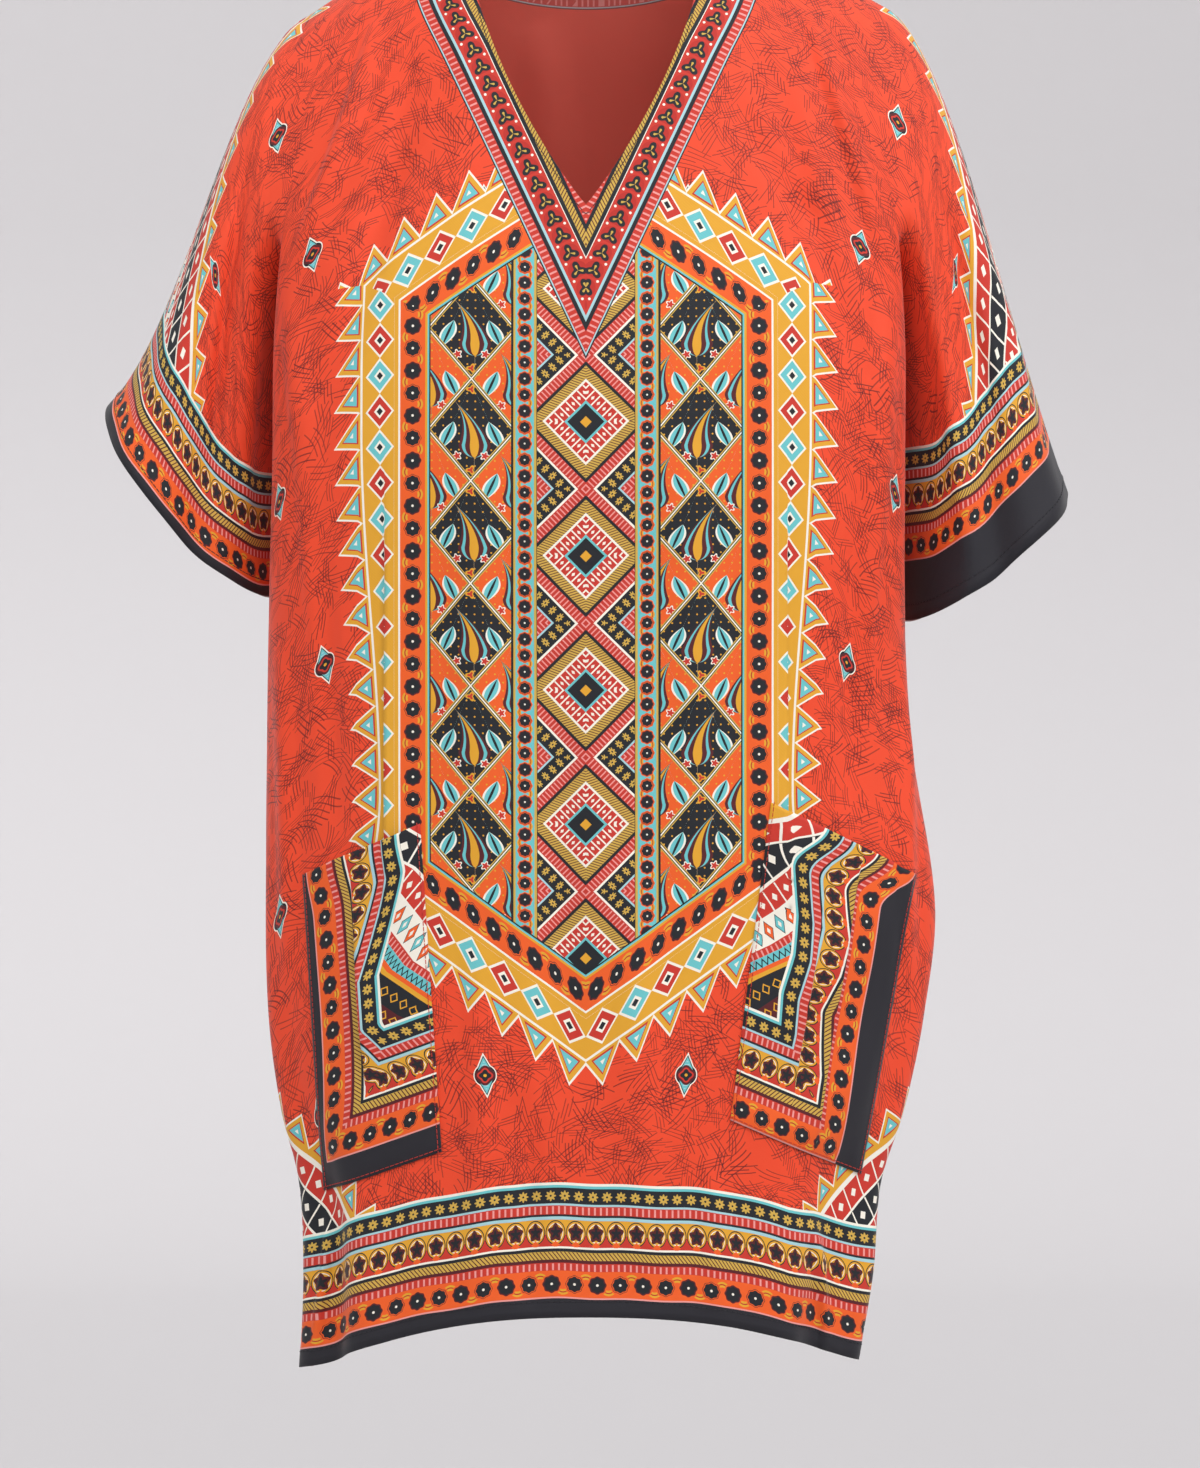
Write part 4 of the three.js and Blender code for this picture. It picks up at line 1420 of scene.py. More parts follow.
class Print:
    """Inks laid one over another on the cloth."""

    def __init__(self, tree: bpy.types.NodeTree, base: Any) -> None:
        """Starts from one ink, or another print's colour, all over."""
        self.tree = tree
        self.colour = linear(base.value) if isinstance(base, Ink) else base

    def lay(self, ink: Any, where: Signal | float) -> None:
        """Prints an ink, or another print's colour, as much as where says."""
        over = linear(ink.value) if isinstance(ink, Ink) else ink
        self.colour = add(
            self.tree, "ShaderNodeMix", {"data_type": "RGBA"},
            {0: where, 6: self.colour, 7: over}, output=2,
        )

    def ramp(self, where: Signal, stops: list[tuple[float, Ink]]) -> bpy.types.NodeSocket:
        """Colour that changes in steps, from the share where each ink starts.

        Args:
            where: place across the band, as a share.
            stops: each ink's start and the ink.

        Returns:
            The colour.
        """
        colour = add(self.tree, "ShaderNodeValToRGB", {}, {0: where})
        ramp = colour.node.color_ramp
        ramp.interpolation = "CONSTANT"
        ramp.elements.remove(ramp.elements[1])
        ramp.elements[0].position, ramp.elements[0].color = 0.0, linear(stops[0][1].value)
        for place, ink in stops[1:]:
            ramp.elements.new(place).color = linear(ink.value)
        return colour

    def band(
        self, rows: tuple[Row, ...], along: Signal, across: Signal, where: Signal | None = None,
        scale: float = 1.0,
    ) -> None:
        """Prints a whole band of rows.

        Args:
            rows: the rows, from across = 0; the first one also runs below 0.
            along: place along the band.
            across: place across the band.
            where: mask, or else all of the band's own depth.
            scale: size of the band as drawn.
        """
        along, across = along / scale, across / scale
        total = sum(row.width for row in rows)
        starts = np.cumsum([0.0] + [row.width for row in rows])
        stops = [(start / total, row.ink) for start, row in zip(starts, rows)]
        inside = Print(self.tree, self.ramp(across / total, stops))
        for start, row in zip(starts, rows):
            if row.motif is not Motif.PLAIN:
                middle = across - (start + row.width / 2)
                filled = Print(self.tree, inside.colour)
                getattr(filled, row.motif.name.lower())(along, middle, row)
                inside.lay(filled.colour, abs(middle) < row.width / 2)
        self.lay(inside.colour, (across < total) if where is None else where)

    def polar(self, x: Signal, y: Signal) -> tuple[Signal, Signal]:
        """Distance and bearing of a point from a motif's middle.

        Args:
            x: place across the motif.
            y: place up the motif.

        Returns:
            Distance in millimetres and bearing in radians.
        """
        place = add(self.tree, "ShaderNodeCombineXYZ", {}, {0: x, 1: y})
        reach = add(self.tree, "ShaderNodeVectorMath", {"operation": "LENGTH"}, {0: place}, 1)
        return Signal(reach), y.bearing(x)

    def comb(self, along: Signal, middle: Signal, row: Row) -> None:
        """Fine pale teeth across a red row."""
        teeth = (abs(along.cell(3.4)) < 0.55) * (abs(middle) < row.width * 0.42)
        self.lay(Ink.PINK, teeth)

    def hatch(self, along: Signal, middle: Signal, row: Row) -> None:
        """Slanting dark lines across a gold row."""
        self.lay(Ink.MAROON, abs((along + middle * 0.8).cell(2.3)) < 0.36)

    def small_rosettes(self, along: Signal, middle: Signal, row: Row) -> None:
        """Gold flowers of eight petals on black.

        Args:
            along: place along the row.
            middle: place across the row, from its middle.
            row: the row that it fills.
        """
        reach, turn = self.polar(along.cell(8.0), middle)
        petals = reach < ((turn * 8).cosine() * 0.6 + row.width * 0.28)
        self.lay(Ink.HATCH_GOLD, petals * (reach > 0.6))

    def arches(self, along: Signal, middle: Signal, row: Row) -> None:
        """Gold arches over maroon buds that stand on red feet.

        Args:
            along: place along the row.
            middle: place across the row, from its middle.
            row: the row that it fills.
        """
        x = along.cell(11.5)
        scale = row.width / 15.4
        reach, turn = self.polar(x / scale, (middle / scale - 0.4) * 0.8)
        self.lay(Ink.GOLD, middle > row.width * -0.05)
        self.lay(Ink.CHARCOAL, reach < 5.6)
        self.lay(Ink.GOLD, reach < 5.1)
        self.lay(Ink.CREAM, (reach < 4.3) * (reach > 3.9))
        petals = (turn * 5 - 1.57).cosine()
        self.lay(Ink.MAROON, reach < petals * 0.7 + 3.7)
        self.lay(Ink.CHARCOAL, reach < petals * 0.8 + 2.1)
        foot = abs(x) * 0.9 + abs(middle + row.width * 0.42)
        self.lay(Ink.ORANGE, foot < 2.2)

    def lotus(self, along: Signal, middle: Signal, row: Row) -> None:
        """Dark buds of three petals with gold accents and pale dots between.

        Args:
            along: place along the row.
            middle: place across the row, from its middle.
            row: the row that it fills.
        """
        x = along.cell(11.0)
        reach, turn = self.polar(x + 1.5, middle)
        lobes = (turn * 3).cosine()
        self.lay(Ink.DEEP_RED, reach < 5.6)
        self.lay(Ink.CHARCOAL, reach < lobes * 1.5 + 3.9)
        self.lay(Ink.HATCH_GOLD, (reach < lobes * 1.5 + 1.7) * (lobes > 0.72))
        dots, _ = self.polar(x - 4.5, abs(middle) - row.width * 0.34)
        self.lay(Ink.CREAM, dots < 0.8)

    def bold_rosettes(self, along: Signal, middle: Signal, row: Row) -> None:
        """Black scalloped discs with a pale eye, with gold flames between them.

        Args:
            along: place along the row.
            middle: place across the row, from its middle.
            row: the row that it fills.
        """
        scale = row.width / 14.8
        x, y = along.cell(13.0 * scale) / scale, middle / scale
        every_other = along.count(13.0 * scale).odd()
        wave = (along * (math.pi / (13.0 * scale))).cosine() * 4.6
        self.lay(Ink.GOLD, abs(y - wave) < 1.6)
        self.lay(Ink.DEEP_RED, abs(y - wave) < 0.35)
        reach, turn = self.polar(x, y)
        lobes = (turn * 8).cosine() * 0.25
        self.lay(Ink.ORANGE, reach < lobes + 5.9)
        self.lay(Ink.MAROON, reach < lobes + 5.0)
        self.lay(Ink.ORANGE, (reach < lobes + 4.7) * every_other)
        self.lay(Ink.CHARCOAL, reach < lobes + 4.2)
        self.lay(Ink.CREAM, reach < 0.75)

    def zigzag(self, along: Signal, middle: Signal, row: Row) -> None:
        """A dark zigzag."""
        wave = abs(along.cell(4.0)) - 1.0 + middle * 0.5
        self.lay(Ink.CHARCOAL, abs(wave) < 0.4)

    def dots(self, along: Signal, middle: Signal, row: Row) -> None:
        """Pale dots between fine bars.

        Args:
            along: place along the row.
            middle: place across the row, from its middle.
            row: the row that it fills.
        """
        x = along.cell(row.width)
        reach = abs(x) + abs(middle)
        self.lay(Ink.CREAM, reach < row.width * 0.2)
        self.lay(Ink.CREAM, abs(x) > row.width / 2 - 0.6)

    def diamonds(self, along: Signal, middle: Signal, row: Row) -> None:
        """Lozenges, in turn red and blue on gold, that touch end to end.

        Args:
            along: place along the row.
            middle: place across the row, from its middle.
            row: the row that it fills.
        """
        pitch = row.width * 1.2
        x = abs(along.cell(pitch)) / 1.2
        reach = x + abs(middle)
        half = row.width / 2
        every_other = along.count(pitch).odd()
        self.lay(Ink.GOLD, reach > half)
        self.lay(Ink.CREAM, reach < half)
        self.lay(Ink.BRICK, reach < half * 0.84)
        self.lay(Ink.TURQUOISE, (reach < half * 0.84) * every_other)
        self.lay(Ink.CREAM, reach < half * 0.4)
        self.lay(Ink.CHARCOAL, reach < half * 0.22)

    def gems(self, along: Signal, middle: Signal, row: Row) -> None:
        """Small lozenges, in turn blue and gold, with dark dots between.

        Args:
            along: place along the row.
            middle: place across the row, from its middle.
            row: the row that it fills.
        """
        pitch = 9.0
        reach = abs(along.cell(pitch)) + abs(middle) * 0.6
        every_other = along.count(pitch).odd()
        self.lay(Ink.CHARCOAL, reach < 3.5)
        self.lay(Ink.TURQUOISE, reach < 3.0)
        self.lay(Ink.ORANGE, (reach < 3.0) * every_other)
        self.lay(Ink.CREAM, reach < 1.2)

    def steps(self, along: Signal, middle: Signal, row: Row) -> None:
        """Gold steps."""
        reach = abs(along.cell(8.0)) + abs(middle)
        self.lay(Ink.GOLD, (reach < 3.2) * (reach > 2.2))

    def paisley(self, x: Signal, y: Signal, height: float, inks: tuple[Ink, ...]) -> None:
        """A drop with a curled tip, its rim, field and seed in three inks.

        Args:
            x: place across the drop.
            y: place up it.
            height: its height.
            inks: rim, field and seed.
        """
        rise = y / height
        above = (rise + 0.2).most(0.0)
        middle = x / height - above * above * 0.62
        round_foot = (0.0484 - (rise + 0.2) * (rise + 0.2)).most(0.0).root()
        half = round_foot * (rise < -0.2) + (0.5 - rise).most(0.0) * 0.314 * (rise > -0.2)
        share = abs(middle) / half.most(0.003)
        for limit, ink in zip((1.25, 1.0, 0.74, 0.36), (Ink.MAROON, *inks)):
            self.lay(ink, share < limit)

    def leaf(self, x: Signal, y: Signal, length: float, slope: float, ink: Ink) -> None:
        """A pointed leaf with a dark rib, leaning by its slope.

        Args:
            x: place across the leaf.
            y: place up it.
            length: its length.
            slope: how far it leans.
            ink: its colour.
        """
        along = y / (length / 2)
        share = abs(x - y * slope) / ((1.0 - along * along).most(0.0) * (length * 0.24) + 0.01)
        self.lay(Ink.CREAM, share < 1.25)
        self.lay(ink, share < 0.9)
        self.lay(Ink.CHARCOAL, share < 0.22)


class Zone(Enum):
    """Part of a panel, by what is printed on its ground."""

    OPEN = 0
    HEM = 1
    SLEEVE = 2
    CORNER = 3
    CENTRE = 4
    FRAME = 5
    NECK = 6


@dataclass(frozen=True)
class PrintedCotton:
    """Light cotton poplin: plain-woven, screen-printed and calendered to a faint sheen."""

    name: str
    zone: Zone = Zone.OPEN
    reverse: bool = False
    centred: bool = True  # whether the centre panel is printed
    thread_mm: float = 0.9  # real threads lie 0.3 mm apart, drawn coarser so that they show
    # Short fibres stand off the weave: a broad, weak shine, paler where the cloth turns away.
    roughness: float = 0.66
    sheen: float = 0.14
    specular: float = 0.36
    show_through: float = 0.3  # how much paler the reverse is

    def material(self) -> bpy.types.Material:
        """Builds the finish.

        Returns:
            The finish as a material.
        """
        made = bare_material(self.name)
        tree = made.node_tree
        place = self.place(tree)
        cloth = Print(tree, self.colours(tree))
        if self.reverse:
            cloth.lay(Ink.PINK, self.show_through)
        surface = add(
            tree, "ShaderNodeBsdfPrincipled", {},
            {
                "Base Color": cloth.colour, "Roughness": self.roughness,
                "Sheen Weight": self.sheen, "Sheen Roughness": 0.45,
                "Specular IOR Level": self.specular, "Normal": self.weave(tree, place),
            },
        )
        add(tree, "ShaderNodeOutputMaterial", {}, {"Surface": surface})
        return made

    def place(self, tree: bpy.types.NodeTree) -> bpy.types.NodeSocket:
        """The place in the cut that the weave follows."""
        return add(tree, "ShaderNodeUVMap", {"uv_map": "cut"})

    def weave(self, tree: bpy.types.NodeTree, place: bpy.types.NodeSocket) -> bpy.types.NodeSocket:
        """Bump of the crossing threads and of the cloth's small unevenness.

        Args:
            tree: the tree to add to.
            place: the map that the threads follow.

        Returns:
            The surface's direction.
        """
        u, v = self.axes(tree, place)
        turn = math.pi / self.thread_mm
        slub = add(
            tree, "ShaderNodeTexNoise", {"noise_dimensions": "2D"},
            {"Vector": place, "Scale": 90.0, "Detail": 1.0, "Roughness": 0.5},
        )
        height = (u * turn).sine() * (v * turn).sine() * 0.05 + Signal(slub) * 0.6
        return add(
            tree, "ShaderNodeBump", {}, {"Height": height, "Strength": 0.4, "Distance": 0.0007},
        )

    def axes(self, tree: bpy.types.NodeTree, place: bpy.types.NodeSocket) -> list[Signal]:
        """A map's two numbers in millimetres.

        Args:
            tree: the tree to add to.
            place: the map, in metres.

        Returns:
            The two signals.
        """
        scaled = add(
            tree, "ShaderNodeVectorMath", {"operation": "SCALE"}, {0: place, 3: 1 / MM},
        )
        parts = add(tree, "ShaderNodeSeparateXYZ", {}, {0: scaled}).node
        return [Signal(parts.outputs[axis]) for axis in range(2)]

    def map(self, tree: bpy.types.NodeTree, name: str) -> list[Signal]:
        """A named map's two numbers in millimetres."""
        return self.axes(tree, add(tree, "ShaderNodeUVMap", {"uv_map": name}))

    def colours(self, tree: bpy.types.NodeTree) -> bpy.types.NodeSocket:
        """Colour of the print.

        Args:
            tree: the tree to add to.

        Returns:
            The colour at each place.
        """
        u, v = self.map(tree, "cut")
        cloth = Print(tree, Ink.GROUND)
        if self.zone is not Zone.CENTRE:
            if not self.reverse:  # such thin strokes don't come through
                self.scribbles(cloth, u, v)
            self.sprigs(cloth, u, v)
        if self.zone in (Zone.HEM, Zone.SLEEVE, Zone.CORNER):
            along, d = self.map(tree, "border")
            if self.zone is Zone.SLEEVE:
                self.nest(cloth, sleeve_reach(v, d), d * SLEEVE_SLOPE - v, SLEEVE_NEST)
            if self.zone is Zone.CORNER:
                seam, hem = self.map(tree, "side")
                self.nest(cloth, corner_reach(seam, hem), hem * CORNER_SLOPE - seam, CORNER_NEST)
            cloth.band(BORDER_ROWS, along, d)
        if self.centred and self.zone in (Zone.CENTRE, Zone.FRAME, Zone.NECK):
            self.centre_panel(cloth, u, v)
        if self.zone is Zone.NECK:
            along, e = self.map(tree, "neck")
            cloth.band(NECK_ROWS, along, e)
        return cloth.colour

    def nest(self, cloth: Print, reach: Signal, turn: Signal, size: float) -> None:
        """Nested lozenges of a size, by the measures out from and round their middle."""
        self.teeth(cloth, turn, reach - size)
        cloth.band(NEST_ROWS, turn, reach, reach < size, size / NEST_DEPTH)

    def teeth(self, cloth: Print, along: Signal, beyond: Signal) -> None:
        """A sawtooth trim: triangles that point away from an outline.

        Args:
            cloth: the print that it is laid on.
            along: place along the outline.
            beyond: distance outside it.
        """
        rise = (1.0 - abs(along.cell(TOOTH_PITCH)) / (TOOTH_PITCH / 2)) * TOOTH_HEIGHT
        left = rise - beyond
        cloth.lay(Ink.CREAM, left > -1.6)
        cloth.lay(Ink.GOLD, left > 0.0)
        cloth.lay(Ink.BRICK, (left > 3.6) * (beyond > 1.2))
        cloth.lay(Ink.TURQUOISE, (left > 4.6) * (beyond > 2.2))
        cloth.lay(Ink.CREAM, (left > 8.4) * (beyond > 4.4))

    def scribbles(self, cloth: Print, u: Signal, v: Signal) -> None:
        """Fine pen strokes in loose bundles that cross at many angles.

        Args:
            cloth: the print that it is laid on.
            u: place across the cut.
            v: place down the cut.
        """
        tree = cloth.tree
        place = add(tree, "ShaderNodeCombineXYZ", {}, {0: u, 1: v})
        drift = add(
            tree, "ShaderNodeTexNoise", {"noise_dimensions": "2D"},
            {"Vector": place, "Scale": STROKE_DRIFT_SCALE, "Detail": 0.0}, "Color",
        )
        drawn = add(
            tree, "ShaderNodeVectorMath", {"operation": "MULTIPLY_ADD"},
            {0: drift, 1: (STROKE_DRIFT, STROKE_DRIFT, 0.0), 2: place},
        )
        for angle, pitch, length in STROKES:
            turned = add(
                tree, "ShaderNodeVectorRotate", {"rotation_type": "Z_AXIS"},
                {"Vector": drawn, "Angle": angle},
            )
            parts = add(tree, "ShaderNodeSeparateXYZ", {}, {0: turned}).node
            run, over = (Signal(parts.outputs[axis]) for axis in range(2))
            bundle = over.count(pitch * STROKE_BUNDLE)
            run = run + bundle * 7.7
            seed = add(
                tree, "ShaderNodeCombineXYZ", {}, {0: run.count(length), 1: bundle, 2: angle},
            )
            dice = Signal(add(tree, "ShaderNodeTexWhiteNoise", {}, {"Vector": seed}))
            stagger = (over.count(pitch) * 2.3).sine() * (length * 0.14)
            stroke = (abs(over.cell(pitch)) < STROKE_HALF) * (dice > STROKE_BARE)
            ends = abs(run.cell(length) + stagger) < length * 0.33
            cloth.lay(Ink.SCRIBBLE, stroke * ends * (dice * 0.6 + 0.16))

    def sprigs(self, cloth: Print, u: Signal, v: Signal) -> None:
        """Small outlined sprigs in a half-drop repeat: a dark flower between two leaves.

        Args:
            cloth: the print that it is laid on.
            u: place across the cut.
            v: place down the cut.
        """
        row = v + SPRIG_TOP
        odd = row.count(SPRIG_DOWN).odd()
        x = (abs(u) - SPRIG_FIRST - odd * SPRIG_SHIFT).cell(SPRIG_ACROSS)
        y = row.cell(SPRIG_DOWN)
        kite = abs(x + y * 0.1) / 6.2 + abs(y) / 13.0
        reach, turn = cloth.polar(x, y)
        petals = (turn * 4).cosine() * 0.5
        cloth.lay(Ink.CREAM, (kite < 1.0).most(reach < 6.4))
        cloth.lay(Ink.CHARCOAL, (kite < 0.88).most(reach < 5.8))
        cloth.lay(Ink.TURQUOISE, kite < 0.8)
        cloth.lay(Ink.PALE_BLUE, (kite < 0.66) * (abs(y.cell(1.7)) < 0.3))
        cloth.lay(Ink.MAROON, reach < petals + 5.2)
        cloth.lay(Ink.BRICK, reach < petals + 3.9)
        cloth.lay(Ink.CHARCOAL, reach < petals + 2.9)
        cloth.lay(Ink.GOLD, reach < 0.9)

    def centre_panel(self, cloth: Print, u: Signal, v: Signal) -> None:
        """The tall panel down the front: a framed lattice with a column of lozenges.

        Args:
            cloth: the print that it is laid on.
            u: place across the cut.
            v: place down the cut.
        """
        tree = cloth.tree
        depth = panel_reach(u, v) * -1
        wide = abs(u)
        panel = Print(tree, Ink.CHARCOAL)
        self.lattice(panel, u, v)
        self.column(panel, u, v)
        slanted = (depth + wide) < PANEL_HALF - 0.05
        run = v + (wide * 1.1 - v) * slanted
        panel.band(PANEL_ROWS, run, depth)
        self.teeth(cloth, run, depth * -1)
        cloth.lay(panel.colour, depth > 0.0)

    def lattice(self, panel: Print, u: Signal, v: Signal) -> None:
        """A lattice of lozenges, in turn black and orange, each with a paisley and leaves.

        Args:
            panel: the print that it is laid on.
            u: place across the cut.
            v: place down the cut.
        """
        wide, tall = LATTICE_WIDE, LATTICE_TALL
        place = (abs(u) - LATTICE_FIRST) / wide
        p, q = place + v / tall, place - v / tall
        shade = (p.count(1.0) + q.count(1.0)).odd()
        across, down = p.cell(1.0), q.cell(1.0)
        panel.lay(Ink.ORANGE, shade)
        x, y = (across + down) * (wide / 2), (down - across) * (tall / 2)
        seeds, _ = panel.polar(x.cell(4.6), y.cell(4.6))
        panel.lay(Ink.GOLD, seeds < 0.5)
        panel.leaf(abs(x) - 13.5, y + 3.0, 15.0, -0.45, Ink.TURQUOISE)
        panel.paisley(x + 2.0, y + 2.0, 33.0, (Ink.TURQUOISE, Ink.MAROON, Ink.GOLD))
        dots, turn = panel.polar(abs(x) - 8.0, y + 15.0)
        panel.lay(Ink.CREAM, dots < (turn * 5).cosine() * 0.6 + 2.4)
        panel.lay(Ink.BRICK, dots < (turn * 5).cosine() * 0.5 + 1.7)
        reach, turn = panel.polar(x, abs(y) - 23.0)
        panel.lay(Ink.GOLD, reach < (turn * 3).cosine() * 0.8 + 2.2)
        panel.lay(Ink.BRICK, reach < (turn * 3).cosine() * 0.6 + 1.3)
        rim = abs(across).most(abs(down))
        panel.lay(Ink.HATCH_GOLD, rim > 0.462)
        panel.lay(Ink.CHARCOAL, rim > 0.478)
        panel.lay(Ink.CREAM, rim > 0.49)

    def column(self, panel: Print, u: Signal, v: Signal) -> None:
        """The panel's middle: lozenges nested down its length inside a rosette frame.

        Args:
            panel: the print that it is laid on.
            u: place across the cut.
            v: place down the cut.
        """
        wide = abs(u)
        y = abs(v.cell(HEART_LENGTH))
        panel.band(HEART_ROWS, y - wide, (y + wide) * 0.62, wide < COLUMN_HALF)
        panel.band(COLUMN_ROWS, v, COLUMN_HALF - wide, abs(COLUMN_HALF - wide - 7.0) < 7.4)


@dataclass(frozen=True)
class PocketCotton(PrintedCotton):
    """The same poplin as cut for a pocket, with the border turned down its outer side."""

    def place(self, tree: bpy.types.NodeTree) -> bpy.types.NodeSocket:
        """The place in the pocket's cut that the weave follows."""
        return add(tree, "ShaderNodeUVMap", {"uv_map": "pocket"})

    def colours(self, tree: bpy.types.NodeTree) -> bpy.types.NodeSocket:
        """Colour of the pocket's print.

        Args:
            tree: the tree to add to.

        Returns:
            The colour at each place.
        """
        side, bottom = self.map(tree, "pocket")
        across = side.least(bottom)
        along = side + (bottom - side) * (side < bottom)
        cloth = Print(tree, Ink.GROUND)
        inwards, upwards = (most(place - BAND_DEPTH, 0.0) for place in (side, bottom))
        reach = inwards * POCKET_SLOPE + upwards * POCKET_SLOPE
        cloth.band(NEST_ROWS, (side - bottom) * POCKET_SLOPE, reach, across > 0.0)
        cloth.band(BORDER_ROWS, along, across)
        return cloth.colour


@dataclass(frozen=True)
class Thread:
    """Spun polyester sewing thread, dull, in one colour."""

    name: str
    ink: Ink
    roughness: float = 0.6  # its fuzz and twist scatter the light, so no stitch glints

    def material(self) -> bpy.types.Material:
        """Builds the finish, with the thread's twist as a fine bump.

        Returns:
            The finish as a material.
        """
        made = bare_material(self.name)
        tree = made.node_tree
        place = add(tree, "ShaderNodeTexCoord", {}, {}, "Object")
        twist = add(tree, "ShaderNodeTexWave", {}, {"Vector": place, "Scale": 900.0})
        bump = add(tree, "ShaderNodeBump", {}, {"Height": twist, "Distance": 0.0001})
        surface = add(
            tree, "ShaderNodeBsdfPrincipled", {},
            {"Base Color": linear(self.ink.value), "Roughness": self.roughness, "Normal": bump},
        )
        add(tree, "ShaderNodeOutputMaterial", {}, {"Surface": surface})
        return made


# ---- making the pieces ---------------------------------------------------------------------------


def linked(name: str, data: bpy.types.ID) -> bpy.types.Object:
    """A new object of a mesh or a camera, in the scene.

    Args:
        name: the object's name.
        data: what it shows.

    Returns:
        The new object.
    """
    made = bpy.data.objects.new(name, data)
    bpy.context.scene.collection.objects.link(made)
    return made


def applied(made: bpy.types.Object) -> bpy.types.Object:
    """Turns an object's evaluated form into its own plain smooth mesh.

    Args:
        made: the object, with its modifiers.

    Returns:
        The same object, without modifiers.
    """
    graph = bpy.context.evaluated_depsgraph_get()
    mesh = bpy.data.meshes.new_from_object(made.evaluated_get(graph), depsgraph=graph)
    made.modifiers.clear()
    made.data = mesh
    mesh.polygons.foreach_set("use_smooth", [True] * len(mesh.polygons))
    mesh.update()
    return made


def shell(
    name: str, sheet: Sheet, materials: list[bpy.types.Material], zones: Array | None = None,
) -> bpy.types.Object:
    """A closed thin shell of cloth.

    Args:
        name: the piece's name.
        sheet: its middle surface and maps.
        materials: the outer finishes, then as many for the inner side, or one for both.
        zones: number of each face's outer finish.

    Returns:
        The Blender object, with its shell applied.
    """
    mesh = bpy.data.meshes.new(name)
    mesh.from_pydata((sheet.points * MM).tolist(), [], sheet.quads.tolist())
    loops = np.zeros(len(mesh.loops), int)
    mesh.loops.foreach_get("vertex_index", loops)
    for map_name, places in sheet.maps.items():
        layer = mesh.uv_layers.new(name=map_name)
        layer.data.foreach_set("uv", (places[loops] * MM).astype(np.float32).ravel())
    for material in materials:
        mesh.materials.append(material)
    if zones is not None:
        mesh.polygons.foreach_set("material_index", zones)
    made = linked(name, mesh)
    wall = made.modifiers.new("shell", "SOLIDIFY")
    wall.thickness = SHELL * MM
    wall.offset = 0.0
    wall.material_offset = len(materials) // 2
    wall.use_quality_normals = True
    return applied(made)


@dataclass
class Stitching:
    """Lockstitch in rows along the turned edges."""

    pitch: float = 3.1
    length: float = 2.4
    radius: float = 0.24
    tree: bpy.types.NodeTree = field(init=False)

    def __post_init__(self) -> None:
        """Builds the tree that sets one stitch at each step along a line."""
        self.tree = bpy.data.node_groups.new("stitches", "GeometryNodeTree")
        face = self.tree.interface
        for name, kind, way in (
            ("Lines", "NodeSocketGeometry", "INPUT"), ("Pitch", "NodeSocketFloat", "INPUT"),
            ("Length", "NodeSocketFloat", "INPUT"), ("Radius", "NodeSocketFloat", "INPUT"),
            ("Thread", "NodeSocketMaterial", "INPUT"), ("Stitches", "NodeSocketGeometry", "OUTPUT"),
        ):
            face.new_socket(name=name, in_out=way, socket_type=kind)
        given = add(self.tree, "NodeGroupInput").node.outputs
        line = add(self.tree, "GeometryNodeMeshToCurve", {}, {"Mesh": given["Lines"]})
        places = add(
            self.tree, "GeometryNodeResampleCurve", {"mode": "LENGTH"},
            {"Curve": line, "Length": given["Pitch"]},
        )
        stitch = add(
            self.tree, "GeometryNodeMeshCylinder", {},
            {"Vertices": 6, "Radius": given["Radius"], "Depth": given["Length"]},
        )
        along = add(self.tree, "GeometryNodeInputTangent")
        turn = add(
            self.tree, "FunctionNodeAlignRotationToVector", {"axis": "Z"}, {"Vector": along},
        )
        copies = add(
            self.tree, "GeometryNodeInstanceOnPoints", {},
            {"Points": places, "Instance": stitch, "Rotation": turn},
        )
        real = add(self.tree, "GeometryNodeRealizeInstances", {}, {0: copies})
        dressed = add(
            self.tree, "GeometryNodeSetMaterial", {},
            {"Geometry": real, "Material": given["Thread"]},
        )
        add(self.tree, "NodeGroupOutput", {}, {"Stitches": dressed})

    def sew(self, name: str, lines: list[Array], thread: bpy.types.Material) -> bpy.types.Object:
        """Sews rows of stitches.

        Args:
            name: name of the piece that they make.
            lines: places along each row, in millimetres.
            thread: the thread's finish.

        Returns:
            The stitches as one plain mesh.
        """
        starts = np.cumsum([0] + [len(line) for line in lines])
        edges = [(k, k + 1) for a, b in zip(starts, starts[1:]) for k in range(a, b - 1)]
        mesh = bpy.data.meshes.new(name)
        mesh.from_pydata((np.concatenate(lines) * MM).tolist(), edges, [])
        made = linked(name, mesh)
        rows = made.modifiers.new("stitches", "NODES")
        rows.node_group = self.tree
        values = {
            "Pitch": self.pitch * MM, "Length": self.length * MM, "Radius": self.radius * MM,
            "Thread": thread,
        }
        for item in self.tree.interface.items_tree:
            if item.name in values:
                rows[item.identifier] = values[item.name]
        return applied(made)


